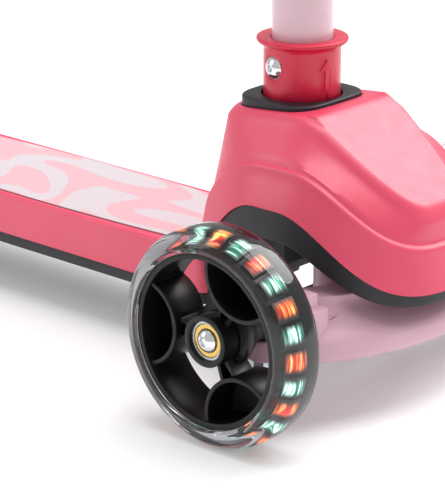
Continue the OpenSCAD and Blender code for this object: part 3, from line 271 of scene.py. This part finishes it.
TUBE_BLUSH = tube_finish()
MAT_PRINT = mat_finish()
PU_CLEAR = clear_finish()
LIT_RED = light_finish("light_segment_red", "#F01C06", "#FFC060", 3.0)
LIT_CYAN = light_finish("light_segment_cyan", "#0C9C78", "#E4FFFA", 2.8)


# ---------- making pieces ----------

def piece(name, bm, finishes, body, stands_for=(), crease=38):
    """Turns a bmesh into a finished piece that rides on its body"""
    mesh = bpy.data.meshes.new(name)
    bm.to_mesh(mesh)
    bm.free()
    for finish in finishes if isinstance(finishes, (list, tuple)) else [finishes]:
        mesh.materials.append(finish)
    mesh.shade_smooth()
    mesh.set_sharp_from_angle(angle=radians(crease))
    made = bpy.data.objects.new(name, mesh)
    scene.collection.objects.link(made)
    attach(made, body)
    if stands_for:
        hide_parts(*stands_for)
    return made


def between(edge, test):
    return all(test(v.co / MM) for v in edge.verts)


def break_edges(bm, edges, width, steps=2):
    if edges:
        bmesh.ops.bevel(bm, geom=edges, offset=width * MM, offset_type="OFFSET",
                        segments=steps, profile=0.5, affect="EDGES", material=-1,
                        clamp_overlap=False)


def merged_copy(node, flat=1.0):
    """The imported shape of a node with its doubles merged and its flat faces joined"""
    bm = bmesh.new()
    bm.from_mesh(frame["nodes"][node].data)
    bmesh.ops.remove_doubles(bm, verts=bm.verts, dist=WELD)
    bmesh.ops.dissolve_limit(bm, angle_limit=radians(flat), verts=bm.verts, edges=bm.edges)
    return bm


def sharp_edges(bm, angle=32):
    return [e for e in bm.edges
            if len(e.link_faces) == 2 and e.calc_face_angle(0) > radians(angle)]


def softened(node, finish, width=0.35, wide=(), name=None, steps=2):
    """A node's own shape with its edges broken, as the mould or the cutter leaves them.
    wide lists (width, steps, test) for the edges that have a larger round."""
    bm = merged_copy(node)
    for wide_width, wide_steps, test in wide:
        break_edges(bm, [e for e in sharp_edges(bm) if between(e, test)], wide_width,
                    wide_steps)
    if width:
        done = 0.75 * width
        break_edges(bm, [e for e in sharp_edges(bm) if e.calc_length() > done * 0.2 * MM],
                    width, steps)
    return piece(name or node + "_shaped", bm, finish, BODY_OF[node], [node])


def rounded(corners):
    """Outline through (across, along, round) corners, each rounded to its radius"""
    points = []
    count = len(corners)
    for k, (x, y, r) in enumerate(corners):
        here = Vector((x, y))
        if r <= 0:
            points.append(here)
            continue
        before = Vector(corners[k - 1][:2]) - here
        after = Vector(corners[(k + 1) % count][:2]) - here
        cut = min(r, before.length * 0.49, after.length * 0.49)
        start, end = here + before.normalized() * cut, here + after.normalized() * cut
        steps = 3 if r < 1 else 6
        for i in range(steps + 1):
            t = i / steps
            points.append((1 - t) ** 2 * start + 2 * t * (1 - t) * here + t * t * end)
    return points


def turned(bm, corners, centre, axis, steps=96):
    """Spins a closed outline of (radius, along, round) corners round an axis"""
    axis = Vector(axis)
    out = Vector((1, 0, 0)) if abs(axis.x) < 0.5 else Vector((0, 0, 1))
    points = [(centre + out * p.x + axis * p.y) * MM for p in rounded(corners)]
    verts = [bm.verts.new(p) for p in points]
    edges = [bm.edges.new((verts[k - 1], verts[k])) for k in range(len(verts))]
    bmesh.ops.spin(bm, geom=verts + edges, cent=centre * MM, axis=axis, dvec=(0, 0, 0),
                   angle=2 * pi, steps=steps, use_merge=True, use_normal_flip=False,
                   use_duplicate=False)
    return bm


def closed_up(bm):
    bmesh.ops.remove_doubles(bm, verts=bm.verts, dist=WELD)
    bmesh.ops.recalc_face_normals(bm, faces=bm.faces)
    return bm


def banded(rings, count):
    """Skins a closed wall through rings; each ring gives its point at a turn of 0 to 1"""
    bm = bmesh.new()
    turn = bm.verts.layers.int.new("turn")
    first = bmesh.ops.create_circle(bm, segments=count, radius=1)["verts"]
    for k, v in enumerate(first):
        v[turn] = k
        v.co = rings[0](k / count)
    edges = list(bm.edges)
    for ring in rings[1:] + rings[:1]:
        grown = bmesh.ops.extrude_edge_only(bm, edges=edges)["geom"]
        fresh = {g for g in grown if isinstance(g, bmesh.types.BMVert)}
        for v in fresh:
            v.co = ring(v[turn] / count)
        edges = [g for g in grown
                 if isinstance(g, bmesh.types.BMEdge) and set(g.verts) <= fresh]
    bm.verts.layers.int.remove(turn)
    return closed_up(bm)


# ---------- cover ----------

# Shape of the cover in millimetres, x from the front axle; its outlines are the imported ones
COVER_MID = -20
COVER_WALL, BAND_STEP, LIP_STEP, LINER_WALL = 3.0, 3.5, 1.4, 2.4
EDGE_FRONT, EDGE_REAR, EDGE_HALF, EDGE_POWER = 80, 86, 64, 2.6
BAND_FRONT, BAND_REAR, BAND_HALF, BAND_POWER = 76, 83, 56, 2.7
CREST_FRONT, CREST_REAR, CREST_HALF, CREST_POWER, CREST_TAPER = 70, 64, 37.5, 4, 0.0035
HOLE_LONG, HOLE_HALF, HOLE_POWER = 26.5, 30, 4
COVER_TOP, TOP_TURN, FRONT_SLOPE, REAR_FALL = 156.5, -15, 0.68, 0.09
TURN_HALF = 3                        # the turn into the slope is rounded this far either side
BAND_TOP, BAND_NOSE, BAND_TAIL, BAND_TURN, BAND_FROM = 131, 90, 5, -18, -100
ARCH_TOP, NOSE_LOW, ARCH_TURN, ARCH_FROM = 109.5, 68, -14, -78
LIP_SIDE, LIP_NOSE, LIP_FROM = 17, 4, -80
CREST_IN = 4.0                       # where the rounding of the crest ends
HOLE_ROUND = 0.9
RING_POINTS = 160


def mix(a, b, t):
    return a + (b - a) * t


def held(t):
    return min(1, max(0, t))


def ease(t):
    u = held(t)
    return u * u * (3 - 2 * u)


def spread(v, power):
    return copysign(abs(v) ** (2 / power), v)


def outline(t, front, rear, half, power, taper=0.0):
    """Point of a superellipse with a front and a rear reach, t from 0 to 1 round it"""
    a = 2 * pi * t
    c, s = spread(cos(a), power), spread(sin(a), power)
    x = COVER_MID + c * (front if c > 0 else rear)
    return x, s * half * (1 - taper * max(0, x - COVER_MID))


def top_z(x):
    """Height of the cover's top, with the turn into the front slope slightly rounded"""
    past = x - TOP_TURN
    if abs(past) < TURN_HALF:
        blend = (past + TURN_HALF) ** 2 / (4 * TURN_HALF)
        return COVER_TOP + REAR_FALL * past - (FRONT_SLOPE + REAR_FALL) * blend
    return COVER_TOP - (FRONT_SLOPE * past if past > 0 else -REAR_FALL * past)


def band_z(x):
    """Height of the edge where the raised band ends"""
    if x > BAND_TURN:
        return mix(BAND_TOP, BAND_NOSE, ease((x - BAND_TURN) / 84) ** 1.25)
    rise = 1 - held((x - BAND_FROM) / 78)
    return mix(DECK_TOP + BAND_TAIL, BAND_TOP, 1 - rise ** 2.6)


def edge_z(x):
    """Height of the cover's lower edge"""
    if x > ARCH_TURN:
        return mix(ARCH_TOP, NOSE_LOW, ease((x - ARCH_TURN) / 78))
    return mix(DECK_TOP + SEAM, ARCH_TOP, ease(held((x - ARCH_FROM) / 47) ** 0.6))


def lip_h(x):
    """How far the liner shows below the cover's edge"""
    return mix(LIP_SIDE, LIP_NOSE, ease(x / 75)) * ease((x - LIP_FROM) / 24)


def at_front(x, y, z):
    return Vector((FRONT_X + x, y, z)) * MM


def edge_ring(inset, dz=0.0):
    def point(t):
        x, y = outline(t, EDGE_FRONT - inset, EDGE_REAR - inset, EDGE_HALF - inset,
                       EDGE_POWER)
        return at_front(x, y, edge_z(x) + dz)
    return point


def band_ring(inset, dz=0.0):
    def point(t):
        x, y = outline(t, BAND_FRONT - inset, BAND_REAR - inset, BAND_HALF - inset,
                       BAND_POWER)
        return at_front(x, y, band_z(x) + dz)
    return point


def crest_ring(inset, dz=0.0):
    def point(t):
        x, y = outline(t, CREST_FRONT - inset, CREST_REAR - inset, CREST_HALF - inset,
                       CREST_POWER, CREST_TAPER)
        return at_front(x, y, top_z(x) + dz)
    return point


def hole_ring(grow, dz=0.0):
    def point(t):
        a = 2 * pi * t
        x = STEM_X - FRONT_X + (HOLE_LONG + grow) * spread(cos(a), HOLE_POWER)
        return at_front(x, (HOLE_HALF + grow) * spread(sin(a), HOLE_POWER), top_z(x) + dz)
    return point


def top_ring(share):
    """A ring on the top surface, part of the way from the crest to the hole"""
    out, hole = crest_ring(CREST_IN), hole_ring(HOLE_ROUND)

    def point(t):
        p = out(t).lerp(hole(t), share)
        p.z = top_z(p.x / MM - FRONT_X) * MM
        return p
    return point


def part_way(low, high, t):
    return lambda k: low(k).lerp(high(k), t)


def bend(low, corner, high, steps):
    """Rings round a corner, from the ring below it to the ring above"""
    def ring(t):
        return lambda k: ((1 - t) ** 2 * low(k) + 2 * t * (1 - t) * corner(k)
                          + t * t * high(k))
    return [ring(i / steps) for i in range(steps + 1)]


def lowered(ring, drop):
    return lambda k: ring(k) - Vector((0, 0, drop * MM))


def dropped_edge(inset, share=1.0):
    """Lower edge of the liner: share of the lip's height below the cover's edge"""
    def point(t):
        x, y = outline(t, EDGE_FRONT - inset, EDGE_REAR - inset, EDGE_HALF - inset,
                       EDGE_POWER)
        return at_front(x, y, edge_z(x) - share * lip_h(x))
    return point


def cover():
    skirt_low, skirt_top = edge_ring(0.3, 0.9), band_ring(0, -2.6)
    ledge_out, ledge_in = band_ring(0, 0.2), band_ring(BAND_STEP, 0.3)
    flank_low, flank_top = band_ring(BAND_STEP + 0.2, 2.6), crest_ring(-2, -5.5)
    rings = [edge_ring(COVER_WALL, 0.0), edge_ring(0.9, 0.0), edge_ring(0.15, 0.35), skirt_low]
    rings += [part_way(skirt_low, skirt_top, t) for t in (0.25, 0.5, 0.75)]
    rings += bend(skirt_top, ledge_out, band_ring(1.9, 0.45), 5)
    rings += bend(band_ring(2.3, 0.45), ledge_in, flank_low, 4)
    rings += [part_way(flank_low, flank_top, t) for t in (0.2, 0.4, 0.6, 0.8)]
    rings += bend(flank_top, crest_ring(1.0, -0.1), crest_ring(CREST_IN), 8)
    rings += [top_ring(k / 20) for k in range(1, 20)]
    rings += bend(hole_ring(HOLE_ROUND, 0), hole_ring(SEAM, 0), hole_ring(SEAM, -0.8), 3)
    # the inside: down the hole's rim, out under the top and down the flank
    under = [top_ring(k / 5) for k in range(5, -1, -1)]
    inner_crest = crest_ring(COVER_WALL, -7)
    inner_flank = band_ring(BAND_STEP + COVER_WALL, -2)
    rings += [hole_ring(SEAM, -3)] + [lowered(ring, 3.5) for ring in under]
    rings += [inner_crest, part_way(inner_crest, inner_flank, 0.5), inner_flank]
    piece("front_cover_shell", banded(rings, RING_POINTS), ABS_ROSE, "frame",
          ["front_cover"], crease=50)


def liner():
    outer = COVER_WALL + SEAM
    inner = outer + LINER_WALL
    share = 0.3                      # how far up the inside of the skirt it reaches
    rings = [dropped_edge(outer + 0.8), dropped_edge(2.2)]
    rings += bend(dropped_edge(2.0), dropped_edge(LIP_STEP), dropped_edge(LIP_STEP, 0.93), 3)
    rings += [part_way(dropped_edge(LIP_STEP), edge_ring(LIP_STEP, -SEAM), 0.5),
              edge_ring(LIP_STEP, -SEAM), edge_ring(outer, -SEAM),
              part_way(edge_ring(outer), band_ring(BAND_STEP + outer, -2), share),
              part_way(edge_ring(inner), band_ring(BAND_STEP + inner, -2), share)]
    piece("front_liner_lip", banded(rings, RING_POINTS), PP_BLACK, "frame",
          ["front_liner"], crease=50)


cover()
liner()

# ---------- deck ----------

MAT_LOW, MAT_HIGH = (Vector(c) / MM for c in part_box("deck_mat"))


def deck():
    outside = lambda p: p.z > DECK_TOP - 0.2 and (
        abs(p.y) > 42 or p.x < MAT_LOW.x - 1 or p.x > MAT_HIGH.x + 1)
    softened("deck_shell", ABS_ROSE, width=0.25, wide=[(2.4, 5, outside)])
    underneath = lambda p: p.z < 33.6 and p.x < FRONT_X - 80
    softened("deck_base", PP_BLACK, width=0.3,
             wide=[(1.2, 3, lambda p: underneath(p) and abs(p.y) > 43)])


def grip_mat():
    """Tread of fine ribs across the deck, each rib's end standing out as a small tooth"""
    length = MAT_HIGH.x - MAT_LOW.x
    half_wide = (MAT_HIGH.y - MAT_LOW.y) / 2
    narrow, corner = 5.0, 22.0       # narrowing at the ends, radius of the corners
    side_r = length * length / (8 * narrow)
    mid_x = (MAT_LOW.x + MAT_HIGH.x) / 2

    def half_at(x):
        drop = side_r - sqrt(side_r ** 2 - (x - mid_x) ** 2)
        inset = max(0, corner - (x - MAT_LOW.x), corner - (MAT_HIGH.x - x))
        square = half_wide - corner + sqrt(max(0, corner ** 2 - inset ** 2))
        return min(half_wide - drop, square)

    pitch = 1.5                      # from rib to rib, in millimetres
    ribs = int(length / pitch)
    bm = bmesh.new()
    column = bm.verts.layers.int.new("column")
    columns = 12
    row = bmesh.ops.create_grid(bm, x_segments=columns, y_segments=1, size=1)["verts"]
    bmesh.ops.delete(bm, geom=[v for v in row if v.co.y > 0], context="VERTS")
    row = sorted(bm.verts, key=lambda v: v.co.x)
    for k, v in enumerate(row):
        v[column] = k
    last = len(row) - 1
    stops = []
    rise, tooth_out, margin = 0.32, 0.28, 0.4
    step = (length - 2 * margin) / ribs
    for i in range(ribs):
        x = MAT_LOW.x + margin + (length - 2 * margin) * i / ribs
        stops += [(x, 0.0, 0.0), (x + 0.18 * step, rise, tooth_out),
                  (x + 0.72 * step, rise, tooth_out), (x + 0.9 * step, 0.0, 0.0)]

    def lay(v, stop):
        x, lift, tooth = stop
        wide = half_at(x) - SEAM + tooth
        side = -1 + 2 * v[column] / last
        v.co = Vector((x, side * wide, MAT_HIGH.z - 0.34 + lift)) * MM

    for v in bm.verts:
        lay(v, stops[0])
    edges = list(bm.edges)
    for stop in stops[1:]:
        grown = bmesh.ops.extrude_edge_only(bm, edges=edges)["geom"]
        fresh = {g for g in grown if isinstance(g, bmesh.types.BMVert)}
        for v in fresh:
            lay(v, stop)
        edges = [g for g in grown
                 if isinstance(g, bmesh.types.BMEdge) and set(g.verts) <= fresh]
    bm.verts.layers.int.remove(column)
    # the sheet gets its thickness by drawing its rim down into the recess
    rim = [e for e in bm.edges if e.is_boundary]
    grown = bmesh.ops.extrude_edge_only(bm, edges=rim)["geom"]
    foot = [g for g in grown if isinstance(g, bmesh.types.BMVert)]
    for v in foot:
        v.co.z = MAT_LOW.z * MM
    rim = [e for e in bm.edges if e.is_boundary]
    bmesh.ops.holes_fill(bm, edges=rim, sides=0)
    closed_up(bm)
    piece("deck_mat_tread", bm, MAT_PRINT, "frame", ["deck_mat"], crease=30)


deck()
grip_mat()

# ---------- stem ----------

def vertical(name, corners, finish, body, nodes, x=STEM_X, y=0.0):
    bm = turned(bmesh.new(), corners, Vector((x, y, 0)), (0, 0, 1))
    return piece(name, closed_up(bm), finish, body, nodes)


def tube_outline(node, radius, wall, round_top=0.5):
    low, high = (c[2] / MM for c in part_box(node))
    return [(radius, low, 0.2), (radius, high, round_top), (radius - wall, high, round_top),
            (radius - wall, low, 0.2)]


def stem():
    tube_r = (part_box("lower_tube")[1][1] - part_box("lower_tube")[0][1]) / MM / 2
    upper_r = (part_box("upper_tube")[1][1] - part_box("upper_tube")[0][1]) / MM / 2
    vertical("lower_tube_drawn", tube_outline("lower_tube", tube_r, TUBE_WALL), TUBE_BLUSH,
             "frame", ["lower_tube"])
    vertical("upper_tube_drawn", tube_outline("upper_tube", upper_r, TUBE_WALL), TUBE_BLUSH,
             "bar", ["upper_tube"])
    collar_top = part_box("stem_collar")[1][2] / MM
    rim = lambda p: p.z > collar_top - 2.8 and hypot(p.x - STEM_X, p.y) > 25
    mouth = lambda p: p.z > collar_top - 0.1 and hypot(p.x - STEM_X, p.y) < 19
    softened("stem_collar", NYLON_ROSE, width=0.2,
             wide=[(1.05, 4, rim), (1.6, 4, mouth)])
    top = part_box("stem_bezel")[1][2] / MM
    softened("stem_bezel", PP_BLACK, width=0.4,
             wide=[(1.2, 4, lambda p: p.z > top - 0.1
                    and hypot(p.x - STEM_X, p.y) > 25)])
    softened("collar_bolt", CHROME, width=0.25)
    softened("tube_clamp", PP_BLACK, width=0.9, steps=3)
    softened("clamp_lever", PP_BLACK, width=0.5)
    softened("tube_sleeve", PP_BLACK, width=0.4)
    softened("bar_head", PP_BLACK, width=0.8, steps=3)


def bar():
    low, high = (Vector(c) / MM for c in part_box("handlebar"))
    radius, half = (high.z - low.z) / 2, high.y
    centre = Vector((STEM_X, 0, BAR_Z))
    tube = [(radius, -half, 0.3), (radius, half, 0.3), (radius - TUBE_WALL, half, 0.3),
            (radius - TUBE_WALL, -half, 0.3)]
    piece("handlebar_drawn", closed_up(turned(bmesh.new(), tube, centre, (0, 1, 0))),
          TUBE_BLUSH, "bar", ["handlebar"])
    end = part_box("left_grip")[1][1] / MM
    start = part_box("left_grip")[0][1] / MM
    bore = radius + FIT
    flange, end_flange, rib_rise, rib_t = 5, 3.5, 1, 2.5
    core = 0.02                      # radius where the closed end of a grip comes together
    for side, node in ((1, "left_grip"), (-1, "right_grip")):
        corners = [(bore, start, 0.3), (GRIP_R + flange, start, 1.6),
                   (GRIP_R + flange, start + 4, 1.6), (GRIP_R, start + 4.6, 0.8)]
        count = 9
        pitch = (end - start - 16) / count
        for i in range(count):
            at = start + 7 + i * pitch
            corners += [(GRIP_R, at - 0.7, 0.5), (GRIP_R + rib_rise, at, 0.6),
                        (GRIP_R + rib_rise, at + rib_t, 0.6), (GRIP_R, at + rib_t + 0.7, 0.5)]
        corners += [(GRIP_R, end - 5.6, 0.8), (GRIP_R + end_flange, end - 5, 1.6),
                    (GRIP_R + end_flange, end, 1.8), (core, end, 0), (core, half + SEAM, 0),
                    (bore, half + SEAM, 0.2)]
        bm = turned(bmesh.new(), corners, centre, (0, side, 0), steps=72)
        bmesh.ops.remove_doubles(bm, verts=[v for v in bm.verts if hypot(
            v.co.x / MM - STEM_X, v.co.z / MM - BAR_Z) < 0.1], dist=0.1 * MM)
        piece(node + "_ribbed", closed_up(bm), TPR_ROSE, "bar", [node])


stem()
bar()

# ---------- wheels ----------

def tyre_outline(inner, outer, half, tread):
    side = outer - tread
    return [(inner, -half + 0.6, 0.5), (side - 1, -half, 3.5), (outer - 0.9, -half + 3.8, 6.0),
            (outer, -2.2, 6.0), (outer, 2.2, 6.0), (outer - 0.9, half - 3.8, 6.0),
            (side - 1, half, 3.5), (inner, half - 0.6, 0.5)]


def front_wheel(side, word):
    centre = Vector((FRONT_X, side * WHEEL_Y, TYRE_R))
    axis = (0, side, 0)
    body = word + "_wheel"
    half = (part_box(word + "_tyre")[1][1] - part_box(word + "_tyre")[0][1]) / MM / 2
    piece(word + "_tyre_cast",
          closed_up(turned(bmesh.new(), tyre_outline(RIM_R + FIT, TYRE_R, half, 9), centre,
                           axis, 160)),
          PU_CLEAR, body, [word + "_tyre"], crease=45)
    softened(word + "_hub", NYLON_BLACK, width=0.35)
    segments(centre, side, word)
    bearings(centre, axis, word + "_bearings", body)
    softened(word + "_axle_bolt", CHROME, width=0.2)
    softened(word + "_knuckle", PP_BLACK, width=0.5)


def segments(centre, side, word):
    """Curved light windows round the rim, red and cyan in turn"""
    count, wide, half = 24, 10.0, 5.0
    arc_r = 50                       # radius on which a segment's width is laid out
    thick = 1.2
    bm = bmesh.new()
    lit = bm.verts.layers.float.new("lit")
    for i in range(count):
        grown = bmesh.ops.create_grid(bm, x_segments=10, y_segments=8, size=1)["verts"]
        faces = {f for v in grown for f in v.link_faces}
        for v in grown:
            a = 2 * pi * i / count + v.co.x * wide / 2 / arc_r
            across = v.co.y * half
            v[lit] = ease(1.35 * (1 - abs(v.co.x))) * ease(1.6 * (1 - abs(v.co.y)))
            r = RIM_R + 2.4 - 0.4 * v.co.x ** 2 - 0.4 * v.co.y ** 2
            v.co = (centre + Vector((r * cos(a), side * across, -r * sin(a)))) * MM
        for f in faces:
            f.material_index = i % 2
        solid = bmesh.ops.solidify(bm, geom=list(faces), thickness=thick * MM)["geom"]
        for g in solid:
            if isinstance(g, bmesh.types.BMFace):
                g.material_index = i % 2
    # dark carrier band that the tyre is cast on
    before = set(bm.faces)
    low, high, reach = RIM_R - 0.4, RIM_R + 0.5, 13.2
    band = [(low, -reach, 0.2), (high, -reach, 0.3), (high, reach, 0.3), (low, reach, 0.2)]
    turned(bm, band, centre, (0, side, 0), 120)
    for f in set(bm.faces) - before:
        f.material_index = 2
    bmesh.ops.recalc_face_normals(bm, faces=bm.faces)
    piece(word + "_light_ring", bm, [LIT_RED, LIT_CYAN, NYLON_BLACK], word + "_wheel",
          [word + "_lights"])


def bearings(centre, axis, node, body):
    """Each bearing: two ground races and a dished gold shield between them"""
    bm = bmesh.new()
    outer_in, inner_out = 9.3, 6.1   # where the outer race ends and the inner one begins
    for s in (-1, 1):
        near, far = BEARING_IN, BEARING_OUT
        outer = [(BEARING_R, near, 0.3), (BEARING_R, far, 0.4), (outer_in, far, 0.3),
                 (outer_in, near, 0.3)]
        inner = [(inner_out, near, 0.3), (inner_out, far, 0.3), (BEARING_BORE, far, 0.3),
                 (BEARING_BORE, near, 0.3)]
        shield = [(outer_in + 0.2, near + 0.6, 0), (outer_in + 0.2, far - 0.9, 0.2),
                  (8.9, far - 0.35, 0.3), (6.6, far - 0.35, 0.3),
                  (inner_out + 0.1, far - 0.9, 0.2), (inner_out - 0.1, near + 0.6, 0)]
        for index, corners in ((0, outer), (0, inner), (1, shield)):
            before = set(bm.faces)
            turned(bm, [(r, s * y, k) for r, y, k in corners], centre, axis, 64)
            for f in set(bm.faces) - before:
                f.material_index = index
    piece(node + "_turned", closed_up(bm), [ZINC_STEEL, SHIELD_GOLD], body,
          [node])


def rear_wheel():
    centre = Vector((REAR_X, 0, REAR_R))
    half = (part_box("rear_tyre")[1][1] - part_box("rear_tyre")[0][1]) / MM / 2
    piece("rear_tyre_cast",
          closed_up(turned(bmesh.new(), tyre_outline(REAR_RIM_R + FIT, REAR_R, half, 6), centre,
                           (0, 1, 0), 120)),
          PU_CLEAR, "rear_wheel", ["rear_tyre"], crease=45)
    softened("rear_hub", NYLON_BLACK, width=0.35)
    bearings(centre, (0, 1, 0), "rear_bearings", "rear_wheel")


for wheel_side, wheel_word in ((-1, "right"), (1, "left")):
    front_wheel(wheel_side, wheel_word)
rear_wheel()

# ---------- truck, frame and brake ----------

softened("truck_beam", PP_BLUSH, width=0.8, steps=3)
softened("front_frame", PP_BLACK, width=0.4)
softened("brake_fender", PP_BLACK, width=0.7)
softened("brake_pad", PP_BLACK, width=0.4)
softened("tie_rod", ECOAT_GREY, width=0.4)


def buffers():
    """Waisted rubber posts between the beam and the frame's wings"""
    radius, waist, end, core = 8, 7, 2.5, 0.02
    back, aside = 2, 30              # from the front axle line and from the middle
    for side, word in ((1, "left"), (-1, "right")):
        low, high = (c[2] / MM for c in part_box("lean_buffers"))
        corners = [(core, low, 0), (radius, low, 0.8), (radius, low + end, 0.8),
                   (waist, (low + high) / 2, 3.0), (radius, high - end, 0.8),
                   (radius, high, 0.8), (core, high, 0)]
        bm = turned(bmesh.new(), corners, Vector((FRONT_X - back, side * aside, 0)),
                    (0, 0, 1), 48)
        closed_up(bm)
        made = piece(word + "_buffer_cast", bm, PU_AMBER, "truck",
                     ["lean_buffers"] if side > 0 else ())
        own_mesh(made)


buffers()

KEPT = {ZINC_STEEL: ["deck_screws", "collar_nut", "clamp_bolt", "lever_pin", "lean_shaft",
                     "drive_pin", "left_kingpin", "right_kingpin", "left_tie_pin",
                     "right_tie_pin", "left_spacer", "right_spacer", "rear_spacer",
                     "rear_axle", "rear_nut", "brake_pin", "brake_spring"],
        ACETAL_WHITE: ["lean_bushes"]}
for kept_finish, kept_nodes in KEPT.items():
    for kept in kept_nodes:
        for kept_slot in frame["nodes"][kept].material_slots:
            kept_slot.material = kept_finish

# ---------- floor, light and camera ----------

def studio():
    bm = bmesh.new()
    bmesh.ops.create_grid(bm, x_segments=1, y_segments=1, size=30)
    mesh = bpy.data.meshes.new("studio_floor")
    bm.to_mesh(mesh)
    bm.free()
    finish, tree, place = new_finish("studio_paper")
    closed_off(tree, add(tree, "BsdfPrincipled", Base_Color=(0.92, 0.92, 0.925, 1),
                         Roughness=0.9, Specular_IOR_Level=0.1,
                         Emission_Color=(0.98, 0.97, 1.0, 1), Emission_Strength=0.14,
                         Normal=grain(tree, place, 4.0, 0.02)))
    mesh.materials.append(finish)
    floor = bpy.data.objects.new("studio_floor", mesh)
    scene.collection.objects.link(floor)

    world = bpy.data.worlds.new("studio")
    world.use_nodes = True
    world.node_tree.nodes["Background"].inputs["Color"].default_value = (1, 1, 1, 1)
    world.node_tree.nodes["Background"].inputs["Strength"].default_value = 0.6
    scene.world = world

    target = Vector((0.17, 0.0, 0.1))
    for name, place, size, power in (
            ("back_softbox", (0.5, 1.45, 1.7), 1.6, 34),
            ("top_softbox", (0.3, -0.1, 2.2), 1.6, 24),
            ("side_softbox", (-1.3, -1.4, 1.1), 1.2, 7)):
        lamp = bpy.data.lights.new(name, "AREA")
        lamp.shape = "DISK"
        lamp.size = size
        lamp.energy = power
        held = bpy.data.objects.new(name, lamp)
        held.location = place
        held.rotation_euler = (target - Vector(place)).to_track_quat("-Z", "Y").to_euler()
        scene.collection.objects.link(held)


def camera():
    seen = bpy.data.cameras.new("camera")
    seen.sensor_width = 36
    seen.lens = 182.75
    seen.clip_end = 100
    held = bpy.data.objects.new("camera", seen)
    held.location = (FRONT_X * MM + 0.81162, -1.01967, 0.52147)
    held.rotation_euler = (radians(71.22), 0, radians(42.14))
    scene.collection.objects.link(held)
    scene.camera = held


studio()
camera()
scene.view_settings.view_transform = "Standard"
